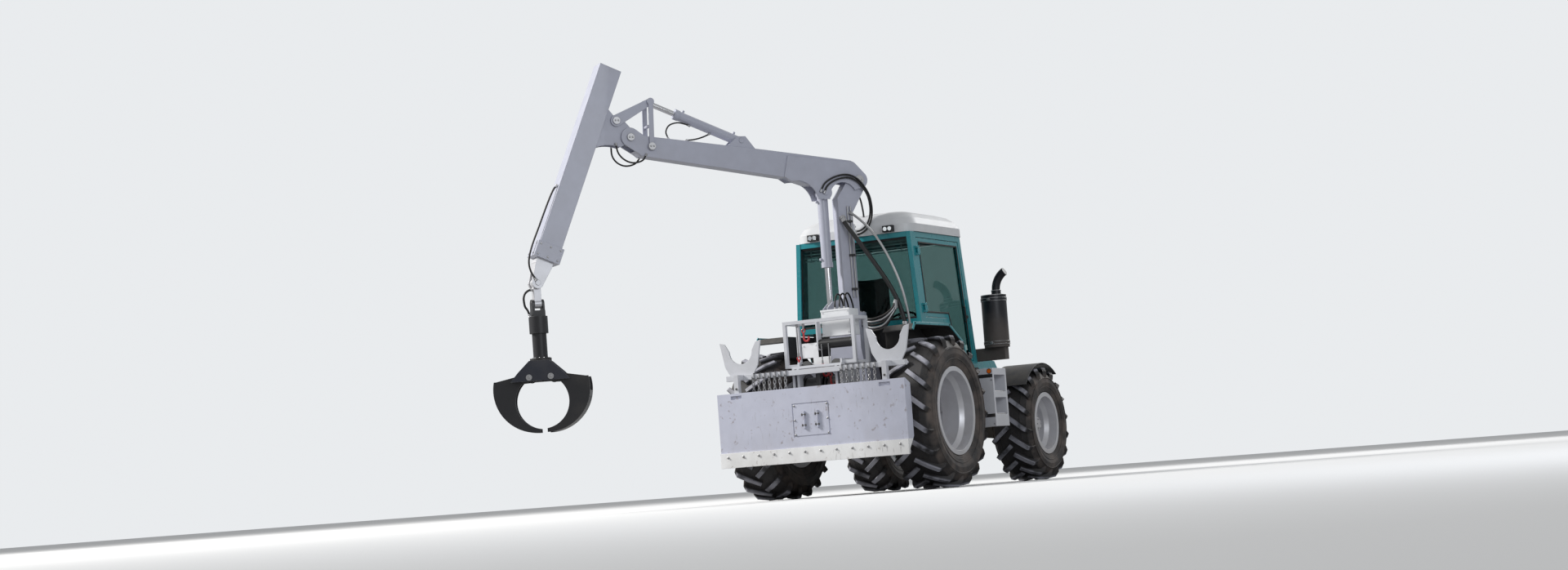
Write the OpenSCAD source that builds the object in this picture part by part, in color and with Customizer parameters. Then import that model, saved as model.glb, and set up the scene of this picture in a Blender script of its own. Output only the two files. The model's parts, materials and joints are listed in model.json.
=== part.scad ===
/* [Vehicle] */
// Distance from the rear axle to the front axle
wheelbase = 2750; // [2600:10:2950]
// Distance between the middles of two tyres on one axle
track = 2060; // [2040:10:2120]
// Width of the chassis between the inner faces of its side plates
chassis_in = 520; // [500:10:560]
// Thickness of the chassis side plates
chassis_t = 30; // [20:1:35]
// Sideways shift that puts the origin under the middle of the whole outline
centre_x = -771; // [-800:1:-740]
// Lengthwise shift that puts the origin under the middle of the whole outline
centre_y = 179; // [150:1:210]

/* [Rear wheels] */
// Diameter over the lugs of a rear tyre
rear_tyre_d = 1750; // [1700:10:1800]
// Section width of a rear tyre
rear_tyre_w = 600; // [560:10:620]
// Diameter of the bead seat of a rear rim
rear_rim_d = 965; // [940:5:980]

/* [Front wheels] */
// Diameter over the lugs of a front tyre
front_tyre_d = 1400; // [1360:10:1440]
// Section width of a front tyre
front_tyre_w = 540; // [500:10:560]
// Diameter of the bead seat of a front rim
front_rim_d = 711; // [690:5:730]
// Distance from the middle plane to a king pin
king_x = 690; // [670:5:700]

/* [Tyre lugs] */
// Height of a lug above the tread
lug_h = 50; // [35:1:60]
// Thickness of a lug along the tread
lug_t = 52; // [40:1:60]
// Number of lugs on each side of a rear tyre
rear_lugs = 20; // [16:1:22]
// Number of lugs on each side of a front tyre
front_lugs = 18; // [14:1:20]

/* [Cab] */
// Height of the cab's waist above the floor
waist_z = 2000; // [1980:5:2020]
// Distance from the middle plane to the cab side at the waist
waist_x = 820; // [800:1:840]
// Lean of the cab sides inwards towards the roof
lean = 3.5; // [3:0.5:5]
// Rear face of the cab, from the rear axle
cab_y0 = 250; // [248:1:270]
// Front face of the cab at the roof, from the rear axle
cab_y1 = 1660; // [1650:1:1670]
// Underside of the roof
roof_z = 3030; // [3000:1:3040]
// Thickness of the cab posts and doors
post_t = 55; // [45:1:60]
// Thickness of a window
glass_t = 6; // [5:1:8]
// Gap round a door
door_gap = 6; // [5:1:10]
// Gap between a fixed window and its frame
glass_fit = 0.3; // [0.2:0.1:0.5]

/* [Rear blade] */
// Width of the blade
blade_w = 2400; // [2300:10:2500]
// Height of the blade
blade_h = 850; // [800:10:880]
// Height of the blade's edge above the floor
blade_z = 410; // [405:1:450]
// Thickness of the blade plate
blade_t = 20; // [15:1:25]
// Rear face of the blade, from the rear axle
blade_y = -1130; // [-1180:5:-1110]

/* [Crane] */
// Resting swing of the crane to the left of straight back
rest_slew = 38; // [30:1:45]
// Distance from the rear axle forward to the column
column_y = 50; // [40:1:60]
// Size of the column along the boom
column_d = 180; // [160:5:190]
// Size of the column across the boom
column_w = 160; // [150:5:160]
// Foot of the column above the floor
column_z = 2080; // [2070:5:2090]
// Thickness of the boom's and stick's cheek plates
cheek_t = 15; // [12:1:16]
// Width of the boom's box beam
boom_w = 180; // [170:5:184]
// Depth of the stick along the boom
stick_d = 260; // [240:5:270]
// Length of the stick's box
stick_l = 2350; // [2300:10:2400]
// Turn of the grapple about its rotator
grapple_turn = -25; // [-40:1:0]

/* [Hidden] */

pale = [0.72, 0.73, 0.77];
teal = [0.05, 0.42, 0.45];
black = [0.07, 0.07, 0.08];
dark = [0.16, 0.15, 0.15];
white = [0.9, 0.9, 0.9];

fit = 0.3;
pin_fit = 0.4;
ring_gap = 0.4;
move_gap = 6;

rear_r = rear_tyre_d / 2;
front_r = front_tyre_d / 2;

// Profile (y, z) as a slab of width w with its middle at x
module side_slab(w, x = 0) {
    translate([x - w / 2, 0, 0]) rotate([90, 0, 90]) linear_extrude(w) children();
}

// Profile (x, z) as a slab of thickness t from y to y + t
module cross_slab(t, y) {
    translate([0, y + t, 0]) rotate([90, 0, 0]) linear_extrude(t) children();
}

// Block from its low corner to its high corner
module block(lo, hi) {
    translate(lo) cube([hi[0] - lo[0], hi[1] - lo[1], hi[2] - lo[2]]);
}

// Cylinder along x, from x0 to x1
module rod_x(r, x0, x1, y, z, fn = 48) {
    translate([x0, y, z]) rotate([0, 90, 0]) cylinder(r = r, h = x1 - x0, $fn = fn);
}

// Cylinder along y, from y0 to y1
module rod_y(r, y0, y1, x, z, fn = 48) {
    translate([x, y1, z]) rotate([90, 0, 0]) cylinder(r = r, h = y1 - y0, $fn = fn);
}

// Vehicle frame: origin on the floor under the middle of the rear axle, +Y forward
module vehicle() {
    translate([-centre_x, -centre_y, 0]) children();
}

module both_sides() {
    children();
    mirror([1, 0, 0]) children();
}

// Chassis side plate with the rear axle's hole
plate_x = chassis_in / 2 + chassis_t / 2;
plate_rear = -520;
plate_front = 3450;
plate_top = 1080;
axle_tube_r = 140;

module side_plate() {
    difference() {
        side_slab(chassis_t, plate_x) polygon([
            [plate_rear, 640], [420, 640], [900, 800], [2350, 860], [plate_front, 860],
            [plate_front, 1020], [900, plate_top], [plate_rear, plate_top]]);
        rod_x(axle_tube_r + fit, 0, 600, 0, rear_r, 96);
    }
}

saddle_gap = 110;
saddle_t = 40;
pivot_r = 45;
front_axle_z = front_r;
tow_r = 20;
tow_z = 940;

module main_frame() color(dark) vehicle() {
    both_sides() side_plate();
    half = chassis_in / 2;
    block([-half, 560, 740], [half, 1900, 1075]);
    block([-half, plate_rear, 1000], [half, plate_rear + 60, plate_top]);
    both_sides() difference() {
        side_slab(20, 200) union() {
            polygon([[1810, 1060], [1890, 1060], [hood_hinge_y + 16, hood_hinge_z],
                [hood_hinge_y - 16, hood_hinge_z]]);
            translate([hood_hinge_y, hood_hinge_z]) circle(r = 16, $fn = 48);
        }
        rod_x(hood_pin_r + pin_fit, 100, 300, hood_hinge_y, hood_hinge_z, 32);
    }
    for (s = [-1, 1])
        difference() {
            yc = wheelbase + s * (saddle_gap + saddle_t / 2);
            block([-half, yc - saddle_t / 2, 620], [half, yc + saddle_t / 2, 1010]);
            rod_y(pivot_r + fit, wheelbase - 300, wheelbase + 300, 0, front_axle_z);
        }
    difference() {
        block([-420, plate_front, 760], [420, plate_front + 50, 1060]);
        for (x = [-300, 300], z = [810, 1010]) rod_y(11, plate_front - 20, plate_front + 80, x, z);
    }
    difference() {
        union() {
            block([-70, plate_front + 50, tow_z - 60], [70, plate_front + 190, tow_z - 35]);
            block([-70, plate_front + 50, tow_z + 35], [70, plate_front + 190, tow_z + 60]);
        }
        translate([0, plate_front + 135, tow_z - 100]) cylinder(r = tow_r, h = 200, $fn = 48);
    }
}

// Rear axle: tube, middle housing and end flanges
rear_flange_x = track / 2 - 230;

module rear_axle() color(dark) vehicle() {
    half = chassis_in / 2 - fit;
    block([-half, -300, rear_r - 235], [half, 300, rear_r + 120]);
    rod_x(axle_tube_r, -rear_flange_x + 1, rear_flange_x - 1, 0, rear_r, 96);
    both_sides() rod_x(230, rear_flange_x - 60, rear_flange_x, 0, rear_r, 64);
}

king_ear = 110;
ear_t = 30;

module front_axle() color(dark) vehicle() translate([0, wheelbase, front_axle_z]) {
    rod_y(pivot_r, -saddle_gap - saddle_t - 10, saddle_gap + saddle_t + 10, 0, 0);
    rod_y(90, -saddle_gap + fit, saddle_gap - fit, 0, 0);
    both_sides() difference() {
        union() {
            cross_slab(150, -75) polygon([[0, -70], [0, 85], [king_x - 130, king_ear + ear_t],
                [king_x - 70, king_ear + ear_t], [king_x - 70, -king_ear - ear_t],
                [king_x - 130, -king_ear - ear_t], [200, -85]]);
            for (z = [-king_ear - ear_t, king_ear])
                translate([0, 0, z]) linear_extrude(ear_t) union() {
                    translate([king_x, 0]) circle(r = 60, $fn = 64);
                    translate([king_x - 75, -60]) square([75, 120]);
                }
        }
        translate([king_x, 0, -300]) cylinder(r = 30 + pin_fit, h = 600, $fn = 64);
    }
}

// Steering knuckle: king pin, hub drum and the front mudguard on its stay
front_flange_x = track / 2 - 70;
guard_r = front_r + 45;
guard_t = 8;

module knuckle() translate([0, wheelbase, front_axle_z]) {
    translate([king_x, 0, -king_ear - ear_t]) cylinder(r = 30, h = 2 * (king_ear + ear_t), $fn = 64);
    translate([king_x, 0, -king_ear + move_gap])
        cylinder(r = 58, h = 2 * (king_ear - move_gap), $fn = 64);
    rod_x(75, king_x, front_flange_x - 60, 0, 0, 64);
    rod_x(165, front_flange_x - 110, front_flange_x, 0, 0, 64);
    guard();
}

// Front mudguard: a bent sheet from guard_front ahead to guard_rear behind the axle
guard_w = 470;
guard_front = 35;
guard_rear = 50;
stay_x = king_x + 45;
stay_t = 15;
stay_y0 = 66;
stay_y1 = 106;

module guard() {
    block([stay_x, stay_y0, -20], [stay_x + stay_t, stay_y1, guard_r - 4]);
    block([stay_x, 0, -20], [stay_x + stay_t, stay_y1, 20]);
    block([stay_x, stay_y0, guard_r - 18], [track / 2, stay_y1, guard_r - 4]);
    side_slab(guard_w, track / 2) intersection() {
        difference() {
            circle(r = guard_r + guard_t, $fn = 128);
            circle(r = guard_r, $fn = 128);
        }
        polygon([[0, 0], 2000 * [sin(guard_front), cos(guard_front)], [0, 2000],
            2000 * [-sin(guard_rear), cos(guard_rear)]]);
    }
}

module knuckle_right() color(black) vehicle() knuckle();
module knuckle_left() color(black) vehicle() mirror([1, 0, 0]) knuckle();

// Rim: barrel with flanges, a dished disc and the hub cover, axis along z, outside face at +z
module rim(d, w, disc_z, hub_r, disc_r) {
    r = d / 2;
    half = w / 2;
    rotate_extrude($fn = 128) polygon([
        [r - 25, -half], [r + 28, -half], [r + 28, -half + 12], [r - 4, -half + 30],
        [r - 4, -half + 110], [r - 55, -half + 150], [r - 55, half - 150], [r - 4, half - 110],
        [r - 4, half - 30], [r + 28, half - 12], [r + 28, half], [r - 25, half],
        [r - 30, half - 110], [r - 70, half - 160], [r - 70, -half + 160], [r - 30, -half + 110]]);
    rotate_extrude($fn = 128) polygon([
        [disc_r, disc_z + 20], [hub_r + 60, disc_z - 30], [hub_r, disc_z + 5], [hub_r, disc_z + 110],
        [hub_r - 30, disc_z + 135], [0, disc_z + 140], [0, disc_z - 60],
        [hub_r + 60, disc_z - 60], [disc_r, disc_z - 12]]);
}

// Tyre: body of revolution with slanted lugs, axis along z
module tyre(d, w, rim_d, lugs) {
    ro = d / 2 - lug_h;
    ri = rim_d / 2 + fit;
    half = w / 2;
    bead = half - 35;
    rotate_extrude($fn = 96) polygon([
        [ri, -bead + 32], [ri + 32, -bead + 10], [ri + 45, -bead], [(ro + ri) / 2, -half],
        [ro - 90, -half + 8], [ro - 20, -half + 60], [ro, -half + 130], [ro, half - 130],
        [ro - 20, half - 60], [ro - 90, half - 8], [(ro + ri) / 2, half], [ri + 45, bead],
        [ri + 32, bead - 10], [ri, bead - 32]]);
    for (s = [-1, 1], i = [0 : lugs - 1])
        rotate([0, 0, (i + (s > 0 ? 0.5 : 0)) * 360 / lugs]) lug(d / 2, half, s);
}

// One lug: a bar bent over the shoulder, turned to slant across the tread
lug_slant = 38;

lug_mid = 0.45;

module lug(r, half, s) {
    // Height of the lug's crown at a distance from its middle, on the tyre's outer cylinder
    function crown(x) = sqrt(r * r - pow(abs(x) * sin(lug_slant) + lug_t / 2, 2));
    // Shoulder end of the lug, flush with the side wall
    tip = (half * (1 - lug_mid) - lug_t / 2 * sin(lug_slant)) / cos(lug_slant);
    inner = half * 0.56;
    translate([0, 0, s * half * lug_mid]) rotate([s * lug_slant, 0, 0])
        translate([0, lug_t / 2, 0]) rotate([90, 0, 0]) linear_extrude(lug_t) scale([1, s])
            polygon([[r - lug_h - 30, -inner], [crown(inner) - 4, -inner], [crown(0), 0],
                [crown(tip - 55), tip - 55], [r - 62, tip - 8], [r - 130, tip],
                [r - 130, tip - 50], [r - lug_h - 40, tip - 80]]);
}

module rear_wheel_place(s) vehicle() translate([s * track / 2, 0, rear_r]) rotate([0, s * 90, 0])
    children();
module front_wheel_place(s) vehicle() translate([s * track / 2, wheelbase, front_r])
    rotate([0, s * 90, 0]) children();

rim_seat = 0.4;
rear_disc = rear_flange_x + 60 - track / 2 + rim_seat;
front_disc = front_flange_x + 60 - track / 2 + rim_seat;

module rim_rear_left() color(pale)
    rear_wheel_place(-1) rim(rear_rim_d, rear_tyre_w - 70, rear_disc, 130, rear_rim_d / 2 - 18);
module rim_rear_right() color(pale)
    rear_wheel_place(1) rim(rear_rim_d, rear_tyre_w - 70, rear_disc, 130, rear_rim_d / 2 - 18);
module rim_front_left() color(pale)
    front_wheel_place(-1) rim(front_rim_d, front_tyre_w - 70, front_disc, 100, front_rim_d / 2 - 62);
module rim_front_right() color(pale)
    front_wheel_place(1) rim(front_rim_d, front_tyre_w - 70, front_disc, 100, front_rim_d / 2 - 62);
module tyre_rear_left() color(dark)
    rear_wheel_place(-1) tyre(rear_tyre_d, rear_tyre_w, rear_rim_d, rear_lugs);
module tyre_rear_right() color(dark)
    rear_wheel_place(1) tyre(rear_tyre_d, rear_tyre_w, rear_rim_d, rear_lugs);
module tyre_front_left() color(dark)
    front_wheel_place(-1) tyre(front_tyre_d, front_tyre_w, front_rim_d, front_lugs);
module tyre_front_right() color(dark)
    front_wheel_place(1) tyre(front_tyre_d, front_tyre_w, front_rim_d, front_lugs);

// Engine as one plain block
module engine_block() color(dark) vehicle()
    block([-chassis_in / 2 + fit, 1960, 1015], [chassis_in / 2 - fit, 2960, 1540]);

// Hood: a shell hinged at its rear top edge
hood_hinge_y = 1850;
hood_hinge_z = 1650;
hood_pin_r = 9;
hood_half = 370;
hood_front = 3430;
hood_t = 12;
hood_low = 1090;

hood_outline = [[1800, hood_low], [hood_front, hood_low], [hood_front, 1440],
    [hood_front - 110, 1560], [1800, 1690]];

module hood() color(white) vehicle() {
    hood_shell();
    both_sides() rod_x(hood_pin_r, 180, hood_half - 6, hood_hinge_y, hood_hinge_z, 32);
}

module hood_shell() difference() {
    side_slab(2 * hood_half) polygon(hood_outline);
    side_slab(2 * (hood_half - hood_t)) polygon([[1700, 900], [hood_front - hood_t, 900],
        [hood_front - hood_t, 1440 - 5], [hood_front - 116, 1560 - hood_t], [1700, 1698 - hood_t]]);
    block([-260, hood_front - 50, 1140], [260, hood_front + 50, 1400]);
    both_sides() block([hood_half - 50, 2150, 1200], [hood_half + 50, 2750, 1400]);
}

module hood_grille() color(black) vehicle() {
    difference() {
        block([-260 + fit, hood_front - 30, 1140 + fit], [260 - fit, hood_front - 6, 1400 - fit]);
        for (i = [0 : 7]) block([-235, hood_front - 60, 1156 + i * 30], [235, hood_front + 20, 1156 + i * 30 + 16]);
    }
    both_sides() difference() {
        block([hood_half - 10, 2150 + fit, 1200 + fit], [hood_half - 2, 2750 - fit, 1400 - fit]);
        for (i = [0 : 5]) block([hood_half - 60, 2175, 1214 + i * 30], [hood_half + 20, 2725, 1214 + i * 30 + 16]);
    }
}

// Leaned frame of a cab side: x outwards from its outer face, y forward, z up from the waist
module cab_side(s) {
    translate([s * waist_x, 0, waist_z]) rotate([0, -s * lean, 0]) children();
}

side_top = roof_z - waist_z;
sill_low = -560;
side_shape = [[cab_y0, -70], [960, -70], [1060, sill_low], [1700, sill_low],
    [cab_y1, side_top], [cab_y0, side_top]];
door_y0 = cab_y0 + 140;
door_hole = [[door_y0, 10], [1000, 10], [1120, -500], [1612, -500], [cab_y1 - 75, side_top - 65],
    [door_y0, side_top - 65]];

// Door hinge: a pin on the door's leaf between two ears on the rear post
hinge_x = 18;
hinge_y = door_y0 - 15;
hinge_pin_r = 9;
hinge_z = [120, 800];

module side_panel(s) cab_side(s) {
    difference() {
        side_slab(post_t, -s * post_t / 2) polygon(side_shape);
        side_slab(3 * post_t, 0) polygon(door_hole);
    }
    for (z = hinge_z, e = [-55, 30]) translate([0, 0, z + e]) linear_extrude(25) difference() {
        union() {
            translate([s * hinge_x, hinge_y]) circle(r = 20, $fn = 32);
            translate([s * hinge_x / 2 - hinge_x / 2 - (s > 0 ? 1 : -1), hinge_y - 45]) square([hinge_x, 50]);
        }
        translate([s * hinge_x, hinge_y]) circle(r = hinge_pin_r + pin_fit, $fn = 32);
    }
}

module door_hinge(s) for (z = hinge_z) {
    translate([s * hinge_x, hinge_y, z - 50]) cylinder(r = hinge_pin_r, h = 100, $fn = 32);
    translate([s * hinge_x, hinge_y, z - 27]) cylinder(r = 18, h = 54, $fn = 32);
    translate([s * hinge_x / 2 - 9, hinge_y, z - 27]) cube([18, 60, 54]);
    translate([s > 0 ? -20 : 0, hinge_y + 25, z - 27]) cube([20, 35, 54]);
}

module cab_frame() color(teal) vehicle() {
    for (s = [-1, 1]) side_panel(s);
    top_x = waist_x - side_top * tan(lean) - 40;
    block([-top_x, cab_y0 + 5, roof_z - 62], [top_x, cab_y0 + 55, roof_z]);
    block([-top_x, cab_y1 - 60, roof_z - 62], [top_x, cab_y1 - 10, roof_z]);
    block([-waist_x + 40, cab_y0 + 5, waist_z - 60], [waist_x - 40, cab_y0 + 55, waist_z]);
}

// Window in the rear wall and windscreen
function inner_x(z) = waist_x - (z - waist_z) * tan(lean) - post_t / cos(lean) - glass_fit;
function pane(z0, z1) = [[-inner_x(z0), z0], [inner_x(z0), z0], [inner_x(z1), z1], [-inner_x(z1), z1]];
screen_low = 1710;
screen_y = 1660;
screen_lean = 1.5;

module cab_glass() color([0.5, 0.6, 0.6, 0.4]) vehicle() {
    cross_slab(glass_t, cab_y0 + 27) polygon(pane(waist_z + glass_fit, roof_z - 62 - glass_fit));
    translate([0, screen_y, screen_low]) rotate([screen_lean, 0, 0]) translate([0, 0, -screen_low])
        cross_slab(glass_t, 0) polygon(pane(screen_low, roof_z - 68));
}

module door_leaf(s) cab_side(s) {
    difference() {
        side_slab(post_t - 10, -s * post_t / 2) offset(delta = -door_gap) polygon(door_hole);
        side_slab(3 * post_t, 0) offset(delta = -door_gap - 45) polygon(door_hole);
    }
    door_hinge(s);
}

module door_pane(s) cab_side(s)
    side_slab(glass_t, -s * post_t / 2) offset(delta = -door_gap - 45 - glass_fit) polygon(door_hole);

module door_left() color(teal) vehicle() door_leaf(-1);
module door_right() color(teal) vehicle() door_leaf(1);
module door_glass_left() color([0.5, 0.6, 0.6, 0.4]) vehicle() door_pane(-1);
module door_glass_right() color([0.5, 0.6, 0.6, 0.4]) vehicle() door_pane(1);

// Cab tub: floor, inner walls, fire wall and the sill under each door
tub_x = 640;
tub_t = 20;
floor_z = 1400;

module cab_tub() color(dark) vehicle() {
    block([-tub_x, cab_y0 + 60, floor_z], [tub_x, 1700, floor_z + tub_t]);
    both_sides() block([tub_x - tub_t, cab_y0 + 60, floor_z], [tub_x, 1060, 1900]);
    both_sides() block([tub_x - 1, 1070, floor_z], [850, 1690, floor_z + tub_t]);
    block([-tub_x, cab_y0 + 55 + fit, floor_z], [tub_x, cab_y0 + 55 + tub_t, waist_z - 15]);
    block([-600, 1700 - tub_t, floor_z], [600, 1700, 1700]);
    both_sides() block([200, 800, 1075 + fit], [260, 1600, floor_z + 1]);
}

// Roof: a rim with broad corners under a crowned top, as steps of [height, inset, corner radius]
roof_half = 775;
roof_y0 = 240;
roof_y1 = 1800;
roof_steps = [[fit, 0, 190], [90, 0, 200], [170, 45, 200], [225, 110, 200], [262, 220, 180]];

module cab_roof() color(white) vehicle() hull() for (t = roof_steps, s = [-1, 1])
    for (y = [roof_y0 + t[1] + t[2], roof_y1 - t[1] - t[2]])
        translate([s * (roof_half - t[1] - t[2]), y, roof_z + t[0]]) cylinder(r = t[2], h = 6, $fn = 48);

module cab_seat() color(black) vehicle() {
    block([-180, 700, floor_z + tub_t + fit], [180, 1060, floor_z + 386]);
    hull() for (x = [-210, 210], y = [700, 1120]) translate([x, y, floor_z + 381])
        cylinder(r = 40, h = 110, $fn = 16);
    hull() for (x = [-190, 190], z = [floor_z + 470, floor_z + 1130]) translate([x, 745, z])
        rotate([100, 0, 0]) cylinder(r = 40, h = 90, $fn = 16);
}

module cab_console() color(black) vehicle() {
    block([-230, 1480, floor_z + tub_t + fit], [230, 1600, 2020]);
    translate([0, 1470, 2010]) rotate([35, 0, 0]) {
        translate([0, 0, -120]) cylinder(r = 28, h = 200, $fn = 32);
        translate([0, 0, 70]) rotate_extrude($fn = 64) translate([190, 0]) circle(r = 14, $fn = 24);
        for (a = [0, 120, 240]) rotate([0, 0, a]) translate([0, -12, 64]) cube([182, 24, 12]);
    }
}

module work_lamps() color(white) vehicle() {
    for (x = [-500, 500]) {
        block([x - 65, roof_y0 - 60, roof_z + 10], [x + 65, roof_y0 - fit, roof_z + 85]);
        block([x - 65, roof_y1 + fit, roof_z + 10], [x + 65, roof_y1 + 60, roof_z + 85]);
    }
}

// Rear mudguards: a bent plate with an inner skirt and a raised lip
guard_path = [[-430, 1840], [-380, 1900], [570, 1900], [930, 1700], [1040, 1430]];

module rear_guard() {
    side_slab(380, 830) polygon(concat(guard_path, [for (i = [4 : -1 : 0])
        [guard_path[i][0] - (i > 2 ? 14 : 0), guard_path[i][1] - (i > 3 ? 4 : 16)]]));
    block([tub_x + fit, -380, 1650], [tub_x + 14, 570, 1890]);
}

module rear_fenders() color(black) vehicle() both_sides() rear_guard();

// Right side: fuel tank with rungs; left side: battery box
module fuel_tank() color(pale) vehicle() {
    difference() {
        block([900, 1020, 680], [1330, 1420, 1370]);
        for (z = [820, 1090]) block([1180, 1060, z], [1400, 1380, z + 200]);
    }
    block([chassis_in / 2 + chassis_t + fit, 1080, 900], [900, 1360, 1000]);
}

module battery_box() color(pale) vehicle() mirror([1, 0, 0]) {
    difference() {
        block([900, 1020, 680], [1330, 1420, 1370]);
        for (z = [820, 1090]) block([1180, 1060, z], [1400, 1380, z + 200]);
    }
    block([chassis_in / 2 + chassis_t + fit, 1080, 900], [900, 1360, 1000]);
}

// Exhaust: silencer with two end bands on a saddle, and a swept elbow on top
exhaust_x = 1060;
exhaust_y = 1860;
silencer_z = 1650;
silencer_top = 2290;
elbow_r = 250;
elbow_turn = 62;

module exhaust() color(black) vehicle() {
    translate([exhaust_x, exhaust_y, silencer_z]) cylinder(r = 155, h = silencer_top - silencer_z, $fn = 64);
    for (z = [silencer_z + 40, silencer_top - 70]) translate([exhaust_x, exhaust_y, z])
        cylinder(r = 160, h = 30, $fn = 64);
    translate([exhaust_x + 40, exhaust_y, silencer_top - 1]) cylinder(r = 58, h = 60, $fn = 48);
    translate([exhaust_x + 40 + elbow_r, exhaust_y, silencer_top + 58]) rotate([90, 0, 0])
        rotate([0, 0, 180 - elbow_turn]) rotate_extrude(angle = elbow_turn, $fn = 96)
            translate([elbow_r, 0]) circle(r = 50, $fn = 48);
    block([hood_half + 30, exhaust_y - 60, 1500], [1180, exhaust_y + 60, silencer_z + 1]);
    block([hood_half + 30, exhaust_y - 60, 1000], [hood_half + 60, exhaust_y + 60, silencer_z - 10]);
    block([chassis_in / 2 + chassis_t + fit, exhaust_y - 60, 960], [hood_half + 60, exhaust_y + 60, 1000]);
}

// Tower behind the cab that carries the winch, rollers and valve box
tower_y0 = -820;
tower_x = plate_x;
guide_y0 = -905;
guide_y1 = -815;
guide_low = 560;
guide_top = 1480;
guide_half = 45;
slot_half = 15;
slide_fit = 0.5;

module rear_tower() color(pale) vehicle() {
    both_sides() {
        side_slab(24, tower_x) polygon([[tower_y0, 760], [plate_rear - fit, 760], [plate_rear - fit, 1090],
            [-400, 1090], [-400, 1560], [tower_y0, 1560]]);
        block([tower_x + 12, -480, 1500], [460, -440, 1540]);
        block([420, -480, 1540], [460, -440, 2040]);
        block([tower_x + 12, -800, 1500], [460, -760, 1540]);
        block([420, -800, 1540], [460, -760, 2040]);
        block([420, -760, 2000], [460, -480, 2040]);
    }
    for (y = [-800, -480]) block([-420, y, 2000], [420, y + 40, 2040]);
    block([-30, -800, 1680], [-14, -700, 2001]);
    rod_x(55, -15, 421, -745, 1745, 64);
    rod_x(45, -tower_x, tower_x, -700, 1500, 64);
    both_sides() translate([tower_x, 0, guide_low]) linear_extrude(guide_top - guide_low) difference() {
        translate([-guide_half, guide_y0]) square([2 * guide_half, guide_y1 - guide_y0]);
        translate([-guide_half + 10, guide_y0 + 12]) square([2 * guide_half - 20, guide_y1 - guide_y0 - 24]);
        translate([-slot_half, guide_y0 - 1]) square([2 * slot_half, 20]);
    }
    block([-tower_x - guide_half, guide_y0, guide_top - 0.5], [tower_x + guide_half, guide_y1, guide_top + 30]);
}

// Blade cylinder: the barrel hangs in the tower and the rod stands on the blade's bracket
blade_ram_y = -868;
blade_ram_r = 34;
blade_ram_low = 900;
blade_rod_low = 640;

module blade_barrel() color(black) vehicle() translate([0, blade_ram_y, 0]) difference() {
    translate([0, 0, blade_ram_low]) cylinder(r = blade_ram_r, h = guide_top - 0.5 - fit - blade_ram_low, $fn = 48);
    translate([0, 0, blade_ram_low - 1]) cylinder(r = 20.5, h = 561, $fn = 48);
}

module blade_rod() color(white) vehicle() translate([0, blade_ram_y, blade_rod_low + fit])
    cylinder(r = 20, h = 700, $fn = 48);

winch_y = -620;
winch_z = 1260;

module winch() color(black) vehicle() {
    rod_x(110, -tower_x + 12 + fit, tower_x - 12 - fit, winch_y, winch_z, 64);
    for (x = [-tower_x + 13, -20, 20, tower_x - 37]) rod_x(165, x, x + 12, winch_y, winch_z, 64);
}

module valve_box() color(white) vehicle() {
    block([10, -760 + 40 + fit, 1830], [370, -480 - fit, 2130]);
}

// Base of the crane with its slewing ring
module crane_base() color(pale) vehicle() {
    half = chassis_in / 2 + chassis_t;
    cross_slab(360, column_y - 180) polygon([[-half, plate_top + fit], [half, plate_top + fit],
        [200, 1700], [200, 1940], [-200, 1940], [-200, 1700]]);
    translate([0, column_y, 1940]) cylinder(r = 195, h = column_z - ring_gap - 1940, $fn = 96);
}

// Blade on two guides, with the cradles' posts in recesses of its top edge
blade_front = blade_y + blade_t;
beam_y = -975;
beam_z = 1410;
beam_t = 60;
post_x = 950;
slide_low = 700;
hatch_w = 470;
hatch_h = 380;
hatch_z = 700;

module blade() color(pale) vehicle() {
    difference() {
        side_slab(blade_w) polygon([[blade_y, blade_z + 170], [blade_y, blade_z + blade_h],
            [blade_front, blade_z + blade_h], [blade_front, blade_z + 40], [blade_front - 10, blade_z],
            [blade_y - 15, blade_z], [blade_y - 15, blade_z + 170]]);
        both_sides() block([post_x - 70, blade_y - 1, blade_z + blade_h - 70],
            [post_x + 70, blade_front + 1, blade_z + blade_h - 30]);
        difference() {
            block([-hatch_w / 2, blade_y - 1, hatch_z], [hatch_w / 2, blade_y + 6, hatch_z + hatch_h]);
            block([-hatch_w / 2 + 12, blade_y - 2, hatch_z + 12],
                [hatch_w / 2 - 12, blade_y + 7, hatch_z + hatch_h - 12]);
        }
    }
    for (x = [-95, 75]) block([x, blade_y - 22, hatch_z + 90], [x + 20, blade_y + 1, hatch_z + 290]);
    both_sides() {
        side_slab(16, blade_w / 2 - 8) polygon([[blade_front - 1, blade_z + 60], [blade_front + 120, blade_z + 200],
            [blade_front + 120, blade_z + blade_h - 60], [blade_front - 1, blade_z + blade_h]]);
        for (z = [blade_z + 120, blade_z + blade_h - 90])
            block([0, blade_front - 1, z], [blade_w / 2 - 10, blade_front + 80, z + 60]);
        block([tower_x - 8, blade_front - 1, slide_low], [tower_x + 8, guide_y0 + 20, blade_z + blade_h]);
        block([tower_x - guide_half + 10 + slide_fit, guide_y0 + 12 + slide_fit, slide_low],
            [tower_x + guide_half - 10 - slide_fit, guide_y1 - 12 - slide_fit, blade_z + blade_h]);
    }
    block([-60, blade_front - 1, blade_rod_low - 40], [60, blade_ram_y + 30, blade_rod_low]);
}

cradle_t = 20;

// Horned cradle: a base, a round bottom and two horns that lean outwards
module cradle() cross_slab(cradle_t, beam_y + 20) difference() {
    union() {
        polygon([[-150, 0], [150, 0], [215, 110], [270, 395], [225, 385], [0, 290], [-225, 385], [-270, 395],
            [-215, 110]]);
    }
    translate([0, 285]) circle(r = 150, $fn = 64);
    polygon([[-150, 285], [150, 285], [232, 425], [-232, 425]]);
}

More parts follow.
